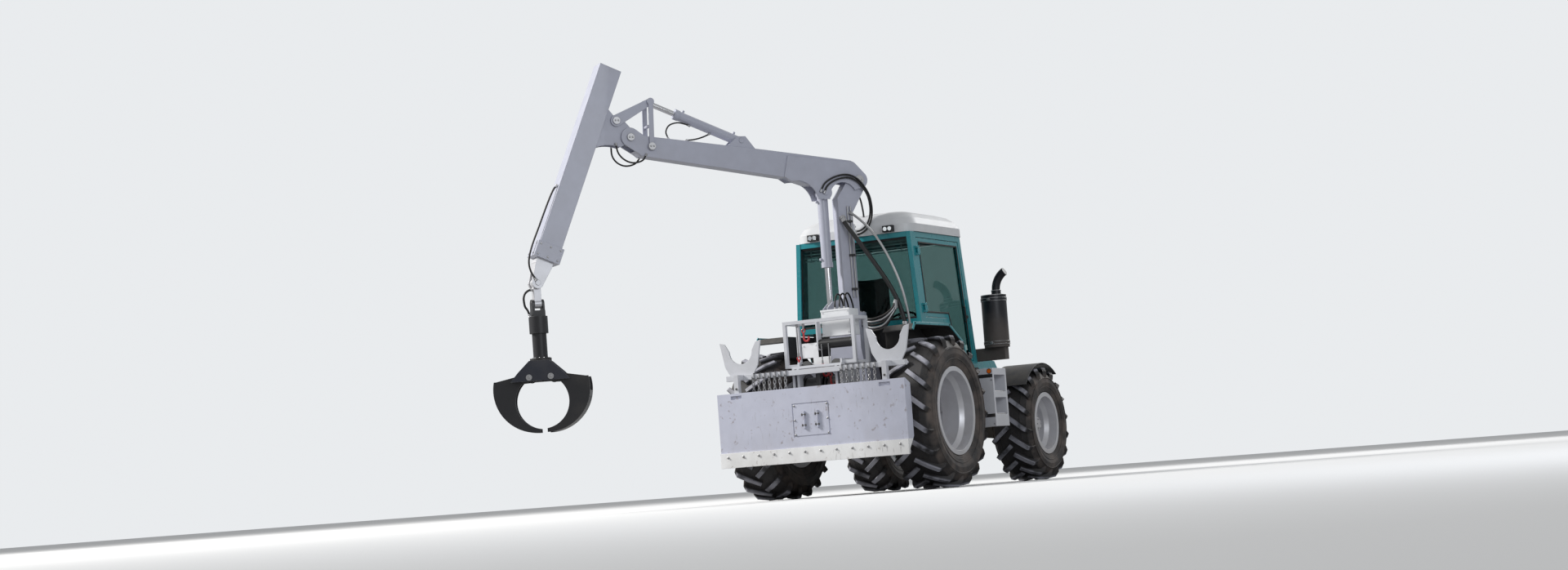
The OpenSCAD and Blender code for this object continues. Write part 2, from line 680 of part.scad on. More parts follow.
module log_cradles() color(pale) vehicle() {
    block([-1150, beam_y, beam_z], [1150, beam_y + beam_t, beam_z + beam_t]);
    both_sides() {
        translate([post_x, 0, beam_z + beam_t - 5]) cradle();
        side_slab(60, post_x) polygon([[blade_front + fit, blade_z + blade_h - 30 + fit],
            [blade_front + 60, blade_z + blade_h - 30 + fit], [blade_front + 60, beam_z],
            [beam_y + 10, beam_z], [beam_y + 10, beam_z + beam_t], [blade_front + fit, beam_z + beam_t]]);
    }
}

// Chains of flat-sided links that hang from hooks on the crossbeam: x of each strand, and its links
chain_strands = [[-640, 5], [-570, 7], [-500, 6], [-430, 5], [430, 6], [500, 5], [570, 7], [640, 6]];
link_l = 66;
link_w = 40;
link_t = 12;
link_pitch = link_l - 2 * link_t + 1;
hook_t = 10;
hook_y = beam_y - 30;

module chain_link() translate([-link_t / 2, 0, 0]) rotate([90, 0, 90]) linear_extrude(link_t) difference() {
    translate([-link_w / 2, 0]) square([link_w, link_l]);
    translate([-link_w / 2 + link_t, link_t]) square([link_w - 2 * link_t, link_l - 2 * link_t]);
}

module chain_strand(links) {
    side_slab(hook_t, 0) polygon([[beam_y + 40, fit], [beam_y + 40, 10], [beam_y - 12, 10], [beam_y - 12, -50],
        [hook_y - 17, -50], [hook_y - 17, -30], [hook_y - 27, -30], [hook_y - 27, -60], [beam_y - fit, -60],
        [beam_y - fit, fit]]);
    for (i = [0 : links - 1]) translate([0, hook_y, link_t - 51 - link_l - i * link_pitch])
        rotate([0, 0, i % 2 == 0 ? 90 : 0]) chain_link();
}

module choker_chains() color(dark) vehicle()
    for (c = chain_strands) translate([c[0], 0, beam_z + beam_t]) chain_strand(c[1]);

// Crane frame: origin on the floor under the slewing axis, +X out along the boom
module crane() {
    vehicle() translate([0, column_y, 0]) rotate([0, 0, 270 - rest_slew]) children();
}

// Profile (x, z) as a slab between two distances across the boom
module layer(y0, y1) cross_slab(y1 - y0, y0) children();
module two_layers(y0, y1) {
    layer(y0, y1) children();
    layer(-y1, -y0) children();
}
module pin_y(r, half, p, fn = 64) rod_y(r, -half, half, p[0], p[1], fn);
module disc(r, p) translate(p) circle(r = r, $fn = 64);

boom_pin = [-200, 3690];
lift_top = [250, 3550];
lift_foot = [250, 2190];
stick_pin = [2619, 4224];
rocker_pin = [2375, 4115];
top_pin = [2355, 4630];
link_pin = [2774, 4416];
fold_foot = [1258, 4176];
boom_pin_r = 45;
joint_pin_r = 35;
boom_half = boom_w / 2;
fold_ear = 62;
gusset_y0 = 50;
gusset_y1 = 66;
tip_slot = gusset_y1 + move_gap;
head_half = column_w / 2;

module column() color(pale) crane() {
    block([-column_d / 2, -head_half, column_z], [column_d / 2, head_half, 3450]);
    translate([0, 0, column_z]) cylinder(r = 190, h = 40, $fn = 96);
    difference() {
        layer(-head_half, head_half) union() {
            polygon([[-column_d / 2, 3300], [column_d / 2, 3300], [column_d / 2, 3480], [-90, 3740],
                [-250, 3780], [-300, 3640]]);
            disc(105, boom_pin);
        }
        pin_y(boom_pin_r - 1, 300, boom_pin);
    }
    pin_y(boom_pin_r, boom_half + cheek_t + 8, boom_pin);
    two_layers(50, 70) polygon([[column_d / 2 - 1, column_z + 10], [300, column_z + 10], [320, 2190],
        [250, 2260], [column_d / 2 - 1, 2300]]);
    two_layers(51, 76) disc(30, lift_foot);
}

boom_beam = [[180, 3640], [430, 3640], [700, 3730], [2500, 4010], [2619, 4110], [2660, 4224],
    [2480, 4240], [956, 4060], [-115, 3920], [-135, 3880], [160, 3870]];
boom_cheek = [[-200, 3590], [160, 3470], [340, 3470], [760, 3745], [700, 3990], [-110, 3900], [-290, 3720]];

module boom() color(pale) crane() difference() {
    union() {
        layer(-boom_half, boom_half) union() {
            polygon(boom_beam);
            hull() {
                disc(110, stick_pin);
                translate([2480, 4130]) circle(r = 105, $fn = 64);
            }
            disc(70, rocker_pin);
        }
        two_layers(boom_half - 0.5, boom_half + cheek_t) union() {
            difference() {
                union() {
                    polygon(boom_cheek);
                    hull() {
                        disc(105, boom_pin);
                        translate([-80, 3800]) circle(r = 118, $fn = 64);
                    }
                }
                translate([20, 3490]) circle(r = 175, $fn = 96);
                translate([610, 3425]) circle(r = 270, $fn = 96);
            }
            disc(105, boom_pin);
            disc(85, lift_top);
        }
        two_layers(fold_ear, fold_ear + 18) polygon([[1080, 4060], [1450, 4100], [1310, 4225], [1206, 4225]]);
    }
    pin_y(boom_pin_r + pin_fit, 300, boom_pin);
    pin_y(joint_pin_r + pin_fit, 300, lift_top);
    pin_y(joint_pin_r + pin_fit, 300, stick_pin);
    pin_y(joint_pin_r + pin_fit, 300, rocker_pin);
    pin_y(30 + pin_fit, 300, fold_foot);
    layer(-tip_slot, tip_slot) disc(165, stick_pin);
}

// Cylinder pieces along +X from the eye, with a gland collar at the open end and two oil ports: barrel with its bore, and rod with its eye
gland_l = 60;
gland_proud = 7;

module barrel(len, r, eye_w, eye_r, pin_r, pin_half) {
    difference() {
        union() {
            rotate([0, 90, 0]) cylinder(r = r, h = len - 1, $fn = 48);
            translate([len - gland_l, 0, 0]) rotate([0, 90, 0]) cylinder(r = r + gland_proud, h = gland_l, $fn = 48);
            rod_y(eye_r, -eye_w / 2, eye_w / 2, 0, 0);
            translate([eye_r + 40, 0, r - 4]) cylinder(r = 16, h = 30, $fn = 24);
            translate([len - gland_l - 40, 0, r - 4]) cylinder(r = 16, h = 30, $fn = 24);
        }
        translate([eye_r + 30, 0, 0]) rotate([0, 90, 0]) cylinder(r = r - 14, h = len - eye_r - 60, $fn = 48);
        translate([eye_r + 30, 0, 0]) rotate([0, 90, 0]) cylinder(r = rod_hole(r), h = len, $fn = 48);
    }
    rod_y(pin_r, -pin_half, pin_half, 0, 0);
}

function rod_r(r) = r * 0.55;
function rod_hole(r) = rod_r(r) + 0.5;

module ram(r, start, eye, eye_w, eye_r) {
    translate([start, 0, 0]) rotate([0, 90, 0]) cylinder(r = rod_r(r), h = eye - start, $fn = 48);
    translate([eye, 0, 0]) rod_y(eye_r, -eye_w / 2, eye_w / 2, 0, 0);
}

// Frame of a cylinder: origin at its eye, +X towards the other eye
module along(a, b) {
    translate([a[0], 0, a[1]]) rotate([0, -atan2(b[1] - a[1], b[0] - a[0]), 0]) children();
}

lift_r = 62;
fold_r = 55;
lift_len = norm(lift_top - lift_foot);
fold_len = norm(top_pin - fold_foot);

module lift_barrel() color(pale) crane() along(lift_top, lift_foot)
    barrel(880, lift_r, 2 * (boom_half - move_gap), 62, joint_pin_r, boom_half + cheek_t + 6);
module lift_rod() color(white) crane() along(lift_top, lift_foot) ram(lift_r, 340, lift_len, 86, 44);
module fold_barrel() color(pale) crane() along(fold_foot, top_pin)
    barrel(850, fold_r, 2 * (fold_ear - move_gap), 50, 30, fold_ear + 24);
module fold_rod() color(white) crane() along(fold_foot, top_pin) ram(fold_r, 330, fold_len, 140, 40);

rocker_y0 = boom_half + 6;
rocker_y1 = boom_half + 22;

module bar(a, b, w) hull() {
    translate(a) circle(r = w / 2, $fn = 32);
    translate(b) circle(r = w / 2, $fn = 32);
}

module rocker() color(pale) crane() {
    two_layers(rocker_y0, rocker_y1) union() {
        bar(rocker_pin, top_pin, 56);
        disc(48, rocker_pin);
        disc(42, top_pin);
    }
    pin_y(joint_pin_r, rocker_y1 + 6, rocker_pin);
    pin_y(18, rocker_y0 + 1, rocker_pin + 0.47 * (top_pin - rocker_pin), 32);
}

link_y0 = gusset_y1 + move_gap;

module link() color(pale) crane() difference() {
    union() {
        two_layers(link_y0, link_y0 + 15) hull() {
            disc(38, top_pin);
            disc(66, link_pin);
        }
        pin_y(16, link_y0 + 1, top_pin + 0.45 * (link_pin - top_pin), 32);
    }
    pin_y(joint_pin_r + pin_fit, 300, link_pin);
}

// Hoses as tubes along their own routes; the normal lies across each route's plane
grapple_hose_d = 25;
grapple_hose_path = [[40.3, 160], [58, 160], [84, 154], [108, 142], [128, 124], [142, 102], [149, 78], [150, 52],
    [150, 28], [148, 0], [141, -26], [129, -50], [113, -72], [99, -94], [91, -116], [91, -139.7]];

function unit(v) = v / norm(v);
function run_at(p, i) = unit(p[min(i + 1, len(p) - 1)] - p[max(i - 1, 0)]);

module hose(path, d, across, sides = 8) {
    rings = [for (i = [0 : len(path) - 1])
        let (t = run_at(path, i), u = unit(cross(t, across)), v = cross(t, u))
        [for (k = [0 : sides - 1]) path[i] + d / 2 * (cos(k * 360 / sides) * u + sin(k * 360 / sides) * v)]];
    n = len(path) - 1;
    polyhedron(points = [for (ring = rings, q = ring) q], faces = concat(
        [[for (k = [0 : sides - 1]) k]], [[for (k = [sides - 1 : -1 : 0]) n * sides + k]],
        [for (i = [0 : n - 1], k = [0 : sides - 1]) let (j = (k + 1) % sides)
            [i * sides + k, (i + 1) * sides + k, (i + 1) * sides + j, i * sides + j]]));
}

// Stick frame: origin at the middle of its top end, +X down along it, +Z outwards
stick_top = [2805, 5020];
stick_foot = [3720, 2855];
stick_half = boom_half + 22;
function on_stick(p) = let (u = (stick_foot - stick_top) / norm(stick_foot - stick_top), d = p - stick_top)
    [d[0] * u[0] + d[1] * u[1], -d[0] * u[1] + d[1] * u[0]];

module stick_place() crane() along(stick_top, stick_foot) children();

ext_d = 196;
ext_w = 168;

module stick() color(pale) {
    stick_place() difference() {
        union() {
            block([0, -stick_half, -stick_d / 2], [stick_l, stick_half, stick_d / 2]);
            block([stick_l - 180, -stick_half - 20, -stick_d / 2 - 25], [stick_l, stick_half + 20, stick_d / 2 + 25]);
        }
        block([60, -ext_w / 2 - 6, -ext_d / 2 - 6], [stick_l - 150, ext_w / 2 + 6, ext_d / 2 + 6]);
        block([60, -ext_w / 2 - slide_fit, -ext_d / 2 - slide_fit],
            [stick_l + 10, ext_w / 2 + slide_fit, ext_d / 2 + slide_fit]);
    }
    crane() difference() {
        union() {
            difference() {
                two_layers(gusset_y0, gusset_y1) difference() {
                    stick_gusset();
                    disc(joint_pin_r - 1, stick_pin);
                    disc(joint_pin_r - 1, link_pin);
                }
                along(stick_top, stick_foot) block([-10, -200, -stick_d / 2 + 5], [stick_l, 200, stick_d]);
            }
            pin_y(joint_pin_r, boom_half + 14, stick_pin);
            pin_y(joint_pin_r, link_y0 + 24, link_pin);
            pin_y(56, gusset_y0 + 1, stick_pin);
            pin_y(48, gusset_y0 + 1, link_pin);
        }
    }
}

module stick_gusset() union() {
    disc(85, stick_pin);
    disc(55, link_pin);
    difference() {
        polygon([[2540, 4260], [2715, 4460], [2800, 4480], [2930, 4640], [3330, 3900], [3240, 3900],
            [2660, 4150]]);
        translate([2890, 3700]) circle(r = 440, $fn = 128);
    }
}

tip_s = 2618;
hang_pin_r = 30;

module extension() color(pale) stick_place() difference() {
    union() {
        block([400, -ext_w / 2, -ext_d / 2], [stick_l + 60, ext_w / 2, ext_d / 2]);
        layer(-ext_w / 2, ext_w / 2) polygon([[stick_l + 50, -ext_d / 2], [stick_l + 50, ext_d / 2],
            [tip_s + 30, 60], [tip_s + 30, -60]]);
        rod_y(65, -ext_w / 2, ext_w / 2, tip_s, 0);
    }
    block([420, -ext_w / 2 + 12, -ext_d / 2 + 12], [stick_l, ext_w / 2 - 12, ext_d / 2 - 12]);
    block([tip_s - 90, -46, -200], [tip_s + 200, 46, 200]);
    rod_y(hang_pin_r + pin_fit, -200, 200, tip_s, 0);
}

u_stick = (stick_foot - stick_top) / norm(stick_foot - stick_top);
hang_pin = stick_top + tip_s * u_stick;
cross_z = hang_pin[1] - 230;

module hang_place() crane() translate([hang_pin[0], 0, 0]) children();

module hanger() color(pale) hang_place() difference() {
    union() {
        layer(-40, 40) union() {
            translate([0, hang_pin[1]]) circle(r = 55, $fn = 64);
            translate([-40, cross_z]) square([80, 230]);
        }
        rod_x(50, -40, 40, 0, cross_z);
        rod_y(hang_pin_r, -ext_w / 2 - 8, ext_w / 2 + 8, 0, hang_pin[1]);
    }
    rod_x(25 + pin_fit, -100, 100, 0, cross_z);
}

module grapple_hose() color(black) hang_place() translate([0, 0, cross_z])
    hose([for (p = grapple_hose_path) [p[0], 0, p[1]]], grapple_hose_d, [0, 1, 0]);

module cross_link() color(black) hang_place() {
    for (s = [-1, 1]) translate([s * 58, 0, 0]) side_slab(24) union() {
        translate([0, cross_z]) circle(r = 50, $fn = 64);
        translate([-50, cross_z - 130]) square([100, 130]);
    }
    rod_x(25, -72, 72, 0, cross_z);
    block([-70, -60, cross_z - 150], [70, 60, cross_z - 75]);
    translate([0, 0, cross_z - 330]) cylinder(r = 105, h = 190, $fn = 64);
}

rot_top = cross_z - 330 - ring_gap;
jaw_pin_z = 1560;
jaw_pin_x = 120;
jaw_pin_r = 28;

module grapple_place() hang_place() rotate([0, 0, grapple_turn]) children();

module rotator() color(black) grapple_place() difference() {
    union() {
        translate([0, 0, rot_top - 290]) cylinder(r = 80, h = 290, $fn = 64);
        translate([0, 0, rot_top - 310]) cylinder(r = 120, h = 35, $fn = 64);
        for (y = [-190, -122, 110, 178]) layer(y, y + 12) polygon([[-330, jaw_pin_z - 40], [330, jaw_pin_z - 40],
            [240, jaw_pin_z + 60], [110, rot_top - 305], [-110, rot_top - 305], [-240, jaw_pin_z + 60]]);
        block([-110, -190, rot_top - 325], [110, 190, rot_top - 305]);
    }
    for (s = [-1, 1]) rod_y(jaw_pin_r + pin_fit, -300, 300, s * jaw_pin_x, jaw_pin_z);
}

// Jaw in its own plane, x outwards from the middle, with the arc of its claw
module jaw_shape() {
    difference() {
        translate([60, jaw_pin_z - 130]) circle(r = 480, $fn = 128);
        translate([0, jaw_pin_z - 270]) circle(r = 300, $fn = 128);
        translate([-600, jaw_pin_z - 1000]) square([640, 2000]);
        translate([-100, jaw_pin_z - 20]) square([1000, 1000]);
    }
    translate([jaw_pin_x, jaw_pin_z]) circle(r = 55, $fn = 64);
    polygon([[jaw_pin_x - 20, jaw_pin_z - 50], [jaw_pin_x + 20, jaw_pin_z + 50], [500, jaw_pin_z - 20],
        [400, jaw_pin_z - 60]]);
}

module jaw(y0, y1) {
    two_layers(y0, y1) jaw_shape();
    layer(-y1, y1) difference() {
        translate([60, jaw_pin_z - 130]) circle(r = 480, $fn = 128);
        translate([60, jaw_pin_z - 130]) circle(r = 465, $fn = 128);
        translate([-600, jaw_pin_z - 1000]) square([700, 2000]);
        translate([-100, jaw_pin_z - 180]) square([1000, 1000]);
    }
    rod_y(jaw_pin_r, -195, 195, jaw_pin_x, jaw_pin_z);
}

module jaw_left() color(black) grapple_place() mirror([1, 0, 0]) jaw(130, 144);
module jaw_right() color(black) grapple_place() jaw(60, 74);

main_frame();
rear_axle();
front_axle();
engine_block();
rear_tower();
winch();
choker_chains();
valve_box();
crane_base();
rear_fenders();
fuel_tank();
battery_box();
exhaust();
cab_tub();
cab_frame();
cab_glass();
cab_roof();
cab_seat();
cab_console();
work_lamps();
door_left();
door_right();
door_glass_left();
door_glass_right();
hood();
hood_grille();
knuckle_left();
knuckle_right();
rim_rear_left();
rim_rear_right();
rim_front_left();
rim_front_right();
tyre_rear_left();
tyre_rear_right();
tyre_front_left();
tyre_front_right();
blade();
log_cradles();
blade_barrel();
blade_rod();
column();
boom();
lift_barrel();
lift_rod();
rocker();
fold_barrel();
fold_rod();
stick();
link();
extension();
hanger();
grapple_hose();
cross_link();
rotator();
jaw_left();
jaw_right();
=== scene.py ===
import json
import math

import bmesh
import bpy
from mathutils import Matrix, Vector

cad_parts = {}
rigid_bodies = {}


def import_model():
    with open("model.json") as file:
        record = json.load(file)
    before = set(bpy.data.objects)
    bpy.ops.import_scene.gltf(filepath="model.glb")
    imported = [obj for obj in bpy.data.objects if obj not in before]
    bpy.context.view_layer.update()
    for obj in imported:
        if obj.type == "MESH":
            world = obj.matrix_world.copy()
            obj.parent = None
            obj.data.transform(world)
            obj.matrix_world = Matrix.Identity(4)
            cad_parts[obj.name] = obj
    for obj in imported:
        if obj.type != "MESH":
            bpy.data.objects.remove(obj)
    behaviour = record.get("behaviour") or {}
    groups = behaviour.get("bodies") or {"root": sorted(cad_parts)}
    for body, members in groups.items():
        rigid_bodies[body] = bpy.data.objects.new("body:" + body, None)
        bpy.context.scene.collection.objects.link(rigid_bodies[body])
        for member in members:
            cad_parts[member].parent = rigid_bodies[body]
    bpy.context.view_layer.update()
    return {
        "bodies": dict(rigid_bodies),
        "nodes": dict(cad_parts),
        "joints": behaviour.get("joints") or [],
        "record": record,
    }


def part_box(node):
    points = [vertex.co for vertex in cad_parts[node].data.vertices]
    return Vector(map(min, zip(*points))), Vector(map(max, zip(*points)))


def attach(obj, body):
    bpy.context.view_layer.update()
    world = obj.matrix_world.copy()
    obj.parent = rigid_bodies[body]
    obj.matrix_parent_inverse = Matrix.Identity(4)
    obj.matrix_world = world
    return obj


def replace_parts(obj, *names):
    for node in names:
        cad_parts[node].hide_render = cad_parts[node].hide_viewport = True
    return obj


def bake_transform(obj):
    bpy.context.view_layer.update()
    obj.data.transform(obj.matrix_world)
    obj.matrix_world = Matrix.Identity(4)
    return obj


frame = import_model()
NODES = frame["nodes"]

# Camera and studio
# The photograph was taken from almost floor level, 29 m behind the machine and to its right,
# with a long lens held a little askew. The studio is a pale floor under a soft white sky.
REAR_LOW, REAR_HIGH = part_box("tyre_rear_right")
LEFT_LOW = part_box("tyre_rear_left")[0]
AXLE = Vector(((LEFT_LOW.x + REAR_HIGH.x) / 2, (REAR_LOW.y + REAR_HIGH.y) / 2, 0))
IMAGE_W, FOCAL_PX, SENSOR = 1920, 3000.0, 36.0
CAMERA_AWAY, CAMERA_HEIGHT = 28.687, 0.15
CAMERA_YAW, CAMERA_PITCH, CAMERA_ROLL = (math.radians(a) for a in (26.73, 3.868, -4.334))
CENTRE_PX, CENTRE_PY = 79.03, 38.12


def at(x, y, z):
    """A place given from the floor under the middle of the rear axle."""
    return AXLE + Vector((x, y, z))


def link_object(name, data):
    """A new object at the origin, linked to the scene."""
    made = bpy.data.objects.new(name, data)
    bpy.context.scene.collection.objects.link(made)
    return made


camera_data = bpy.data.cameras.new("photo_camera")
camera_data.sensor_width = SENSOR
camera_data.lens = FOCAL_PX / IMAGE_W * SENSOR
camera_data.shift_x = -CENTRE_PX / IMAGE_W
camera_data.shift_y = CENTRE_PY / IMAGE_W
camera_data.clip_end = 300
camera = link_object("photo_camera", camera_data)
bpy.context.scene.camera = camera
camera_place = at(CAMERA_AWAY * math.sin(CAMERA_YAW), -CAMERA_AWAY * math.cos(CAMERA_YAW), CAMERA_HEIGHT)
camera.matrix_world = (
    Matrix.Translation(camera_place)
    @ Matrix.Rotation(CAMERA_YAW, 4, "Z")
    @ Matrix.Rotation(math.radians(90) + CAMERA_PITCH, 4, "X")
    @ Matrix.Rotation(CAMERA_ROLL, 4, "Z")
)

FLOOR_HALF = 120.0
FLOOR_LIT, FLOOR_SEEN = (0.3, 0.3, 0.3, 1), (0.86, 0.86, 0.86, 1)
SKY_COLOUR = (0.86, 0.88, 0.9, 1)
SKY_SEEN, SKY_LIGHT = 0.95, 0.46
GRAIN_DEPTH = 0.002


def link_mesh(name, bm):
    """A new object at the origin that shows this mesh."""
    mesh = bpy.data.meshes.new(name)
    bm.to_mesh(mesh)
    bm.free()
    return link_object(name, mesh)


class Recipe:
    """The nodes of one finish, with a short call for each step of laying it on."""

    def __init__(self, tree):
        self.nodes, self.links = tree.nodes, tree.links

    def feed(self, node, inputs):
        """Links sockets and sets plain values, each by the name or number of its input."""
        for place, value in inputs.items():
            if isinstance(value, bpy.types.NodeSocket):
                self.links.new(value, node.inputs[place])
            elif value is not None:
                node.inputs[place].default_value = value

    def add(self, kind, inputs, **settings):
        made = self.nodes.new("ShaderNode" + kind)
        for name, value in settings.items():
            setattr(made, name, value)
        self.feed(made, inputs)
        return made.outputs

    def maths(self, operation, a, b=None, clamp=False):
        return self.add("Math", {0: a, 1: b}, operation=operation, use_clamp=clamp)[0]

    def times(self, a, b, clamp=False):
        return self.maths("MULTIPLY", a, b, clamp)

    def plus(self, a, b, clamp=False):
        return self.maths("ADD", a, b, clamp)

    def mix(self, factor, a, b):
        return self.add("Mix", {0: factor, 6: a, 7: b}, data_type="RGBA")[2]

    def ramp(self, value, low, high):
        return self.add("MapRange", {"Value": value, "From Min": low, "From Max": high},
                        interpolation_type="SMOOTHSTEP")[0]

    def noise(self, where, scale, detail=5.0, stretch=None):
        if stretch:
            where = self.add("Mapping", {"Vector": where, "Scale": stretch})[0]
        return self.add("TexNoise", {"Vector": where, "Scale": scale, "Detail": detail})["Fac"]

    def place(self):
        return self.add("TexCoord", {})["Object"]

    def bump(self, height, strength, normal=None):
        return self.add("Bump", {"Strength": strength, "Distance": GRAIN_DEPTH, "Height": height,
                                 "Normal": normal})[0]


def new_material(name, slot=None):
    """A material and its recipe; slot is the record's finish that it belongs to, if not its own name."""
    material = bpy.data.materials.new(name)
    material.use_nodes = True
    material["slot"] = slot or name
    return material, Recipe(material.node_tree), material.node_tree.nodes["Principled BSDF"]


floor_mesh = bmesh.new()
bmesh.ops.create_grid(floor_mesh, x_segments=1, y_segments=1, size=FLOOR_HALF)
floor = link_mesh("studio_floor", floor_mesh)
floor_paint, recipe, shader = new_material("studio_floor")
floor_tone = recipe.mix(recipe.add("LightPath", {})["Is Camera Ray"], FLOOR_LIT, FLOOR_SEEN)
recipe.feed(shader, {"Base Color": floor_tone, "Roughness": 0.9})
floor.data.materials.append(floor_paint)

world = bpy.data.worlds.new("studio_sky")
bpy.context.scene.world = world
world.use_nodes = True
recipe = Recipe(world.node_tree)
rays = recipe.add("LightPath", {})
seen = recipe.maths("MAXIMUM", rays["Is Camera Ray"], rays["Is Transmission Ray"])
strength = recipe.add("MapRange", {"Value": seen, "To Min": SKY_LIGHT, "To Max": SKY_SEEN})[0]
recipe.feed(world.node_tree.nodes["Background"], {"Color": SKY_COLOUR, "Strength": strength})

for name, place, size, power, colour in (
    ("lamp_left", (-19, -9, 15), 5.0, 6600, (1, 0.985, 0.96)),
    ("lamp_right", (16, -12, 8), 8.0, 700, (0.9, 0.94, 1)),
    ("lamp_front", (4, 17, 13), 9.0, 1300, (1, 1, 1)),
):
    data = bpy.data.lights.new(name, "AREA")
    data.size, data.energy, data.color = size, power, colour
    lamp = link_object(name, data)
    lamp.location = at(*place)
    lamp.rotation_euler = (at(0, 0.8, 1.8) - lamp.location).to_track_quat("-Z", "Y").to_euler()
bpy.context.scene.view_settings.view_transform = "Standard"

# Painted steel
# Plates and box sections welded up, primed and sprayed. Edges rub bare, dust settles on what
# faces up, and mud splashes the lower half of the machine.


def weathering_group():
    """Edge wear, settled dust, mud splashes and a fine orange peel, over one colour."""
    group = bpy.data.node_groups.new("weathering", "ShaderNodeTree")
    for name, kind, value in (
        ("Paint", "Color", (0.5, 0.5, 0.5, 1)), ("Bare", "Color", (0.55, 0.55, 0.56, 1)),
        ("Dust", "Color", (0.3, 0.26, 0.21, 1)), ("Edge Wear", "Float", 0.5), ("Dust Amount", "Float", 0.4),
        ("Mud Height", "Float", 1.0), ("Mud Amount", "Float", 0.4), ("Gloss Roughness", "Float", 0.35),
        ("Edge Radius", "Float", 0.006), ("Grain", "Float", 0.1),
    ):
        socket = group.interface.new_socket(name, in_out="INPUT", socket_type="NodeSocket" + kind)
        socket.default_value = value
    for name, kind in (("Color", "Color"), ("Roughness", "Float"), ("Normal", "Vector")):
        group.interface.new_socket(name, in_out="OUTPUT", socket_type="NodeSocket" + kind)
    made = Recipe(group)
    given, result = group.nodes.new("NodeGroupInput").outputs, group.nodes.new("NodeGroupOutput")
    place, facing = made.place(), made.add("NewGeometry", {})["Normal"]
    rounded = made.add("Bevel", {"Radius": given["Edge Radius"]}, samples=4)[0]
    flat = made.add("VectorMath", {0: rounded, 1: facing}, operation="DOT_PRODUCT")["Value"]
    patches, specks = made.noise(place, 9.0, 8.0), made.noise(place, 70.0, 4.0)
    wear = made.times(made.maths("SUBTRACT", 1.0, flat), made.times(made.ramp(specks, 0.35, 0.75), 7.0))
    wear = made.times(wear, made.ramp(patches, 0.3, 0.6), clamp=True)
    wear = made.times(wear, given["Edge Wear"], clamp=True)
    up = made.ramp(made.add("SeparateXYZ", {0: facing})["Z"], 0.2, 1.0)
    settled = made.times(up, made.ramp(patches, 0.25, 0.7))
    film = made.times(made.ramp(made.noise(place, 2.2, 7.0), 0.42, 0.75), 0.35)
    dusty = made.times(made.maths("MAXIMUM", settled, film), given["Dust Amount"], clamp=True)
    height = made.add("SeparateXYZ", {0: place})["Z"]
    low = made.maths("SUBTRACT", 1.0, made.maths("DIVIDE", height, given["Mud Height"]), clamp=True)
    streaks = made.noise(place, 3.0, 9.0, stretch=(1, 1, 0.35))
    splash = made.times(made.ramp(made.plus(streaks, made.times(low, 0.25)), 0.5, 0.72), low)
    splash = made.times(splash, given["Mud Amount"], clamp=True)
    dirt = made.maths("MAXIMUM", dusty, splash)
    shade = made.add("MapRange", {"Value": patches, "To Min": 0.9, "To Max": 1.08})[0]
    tint = made.add("HueSaturation", {"Color": given["Paint"], "Value": shade})[0]
    rough = made.plus(given["Gloss Roughness"], made.times(patches, 0.12))
    made.feed(result, {
        "Color": made.mix(dirt, made.mix(wear, tint, given["Bare"]), given["Dust"]),
        "Roughness": made.plus(rough, made.times(dirt, 0.4), clamp=True),
        "Normal": made.bump(made.plus(specks, made.times(dirt, 0.6)), given["Grain"], rounded),
    })
    return group


WEATHERING = weathering_group()


def weather(recipe, shader, paint, **values):
    """Lays the weathering over a colour; values name the group's inputs."""
    inputs = {key.replace("_", " ").title(): value for key, value in values.items()}
    group = recipe.add("Group", {}, node_tree=WEATHERING)[0].node
    recipe.feed(group, {"Paint": paint, **inputs})
    recipe.feed(shader, {"Base Color": group.outputs["Color"], "Roughness": group.outputs["Roughness"],
                         "Normal": group.outputs["Normal"]})


def finish(name, paint, metallic=0.0, coat=0.0, slot=None, **values):
    """A material with the weathering over one plain colour."""
    material, recipe, shader = new_material(name, slot)
    weather(recipe, shader, (*paint, 1), **values)
    recipe.feed(shader, {"Metallic": metallic, "Coat Weight": coat})
    return material


def dress(material, *nodes):
    """Gives carried-over CAD nodes this finish."""
    for name in nodes:
        NODES[name].data.materials.clear()
        NODES[name].data.materials.append(material)


GREY = finish("grey_paint", (0.5, 0.515, 0.61), coat=0.3, gloss_roughness=0.3, edge_wear=0.6,
              dust_amount=0.25, mud_height=1.5)
PALE = finish("pale_grey_paint", (0.66, 0.67, 0.71), coat=0.3, slot="grey_paint", gloss_roughness=0.3,
              edge_wear=0.4, dust_amount=0.2, mud_height=1.5, mud_amount=0.3)
TEAL = finish("teal_paint", (0.018, 0.27, 0.31), coat=0.4, gloss_roughness=0.22, edge_wear=0.2,
              dust_amount=0.2, mud_height=1.8)
BLACK = finish("black_paint", (0.02, 0.02, 0.023), coat=0.2, edge_wear=0.7, dust_amount=0.25,
               mud_amount=0.5)
CHASSIS = finish("chassis_paint", (0.06, 0.06, 0.063), gloss_roughness=0.5, dust_amount=0.6,
                 mud_height=1.6, mud_amount=0.8)
IRON = finish("engine_iron", (0.09, 0.09, 0.09), gloss_roughness=0.55, edge_wear=0.3, dust_amount=0.6,
              mud_height=1.8, mud_amount=0.6, grain=0.5)
ROOF = finish("roof_white", (0.68, 0.69, 0.705), coat=0.1, gloss_roughness=0.4, edge_wear=0.0,
              dust_amount=0.12, mud_amount=0.0, grain=0.04)
WHITE = finish("box_white", (0.88, 0.89, 0.91), coat=0.3, gloss_roughness=0.25, edge_wear=0.2,
               dust_amount=0.12, mud_height=1.6, mud_amount=0.15)
STEEL = finish("zinc_steel", (0.5, 0.5, 0.51), metallic=0.9, slot="rod_chrome", gloss_roughness=0.32,
               edge_wear=0.2, dust_amount=0.3, mud_amount=0.3)
CHROME = finish("rod_chrome", (0.75, 0.75, 0.77), metallic=1.0, gloss_roughness=0.06, edge_wear=0.0,
                dust_amount=0.1, mud_amount=0.1, grain=0.02)
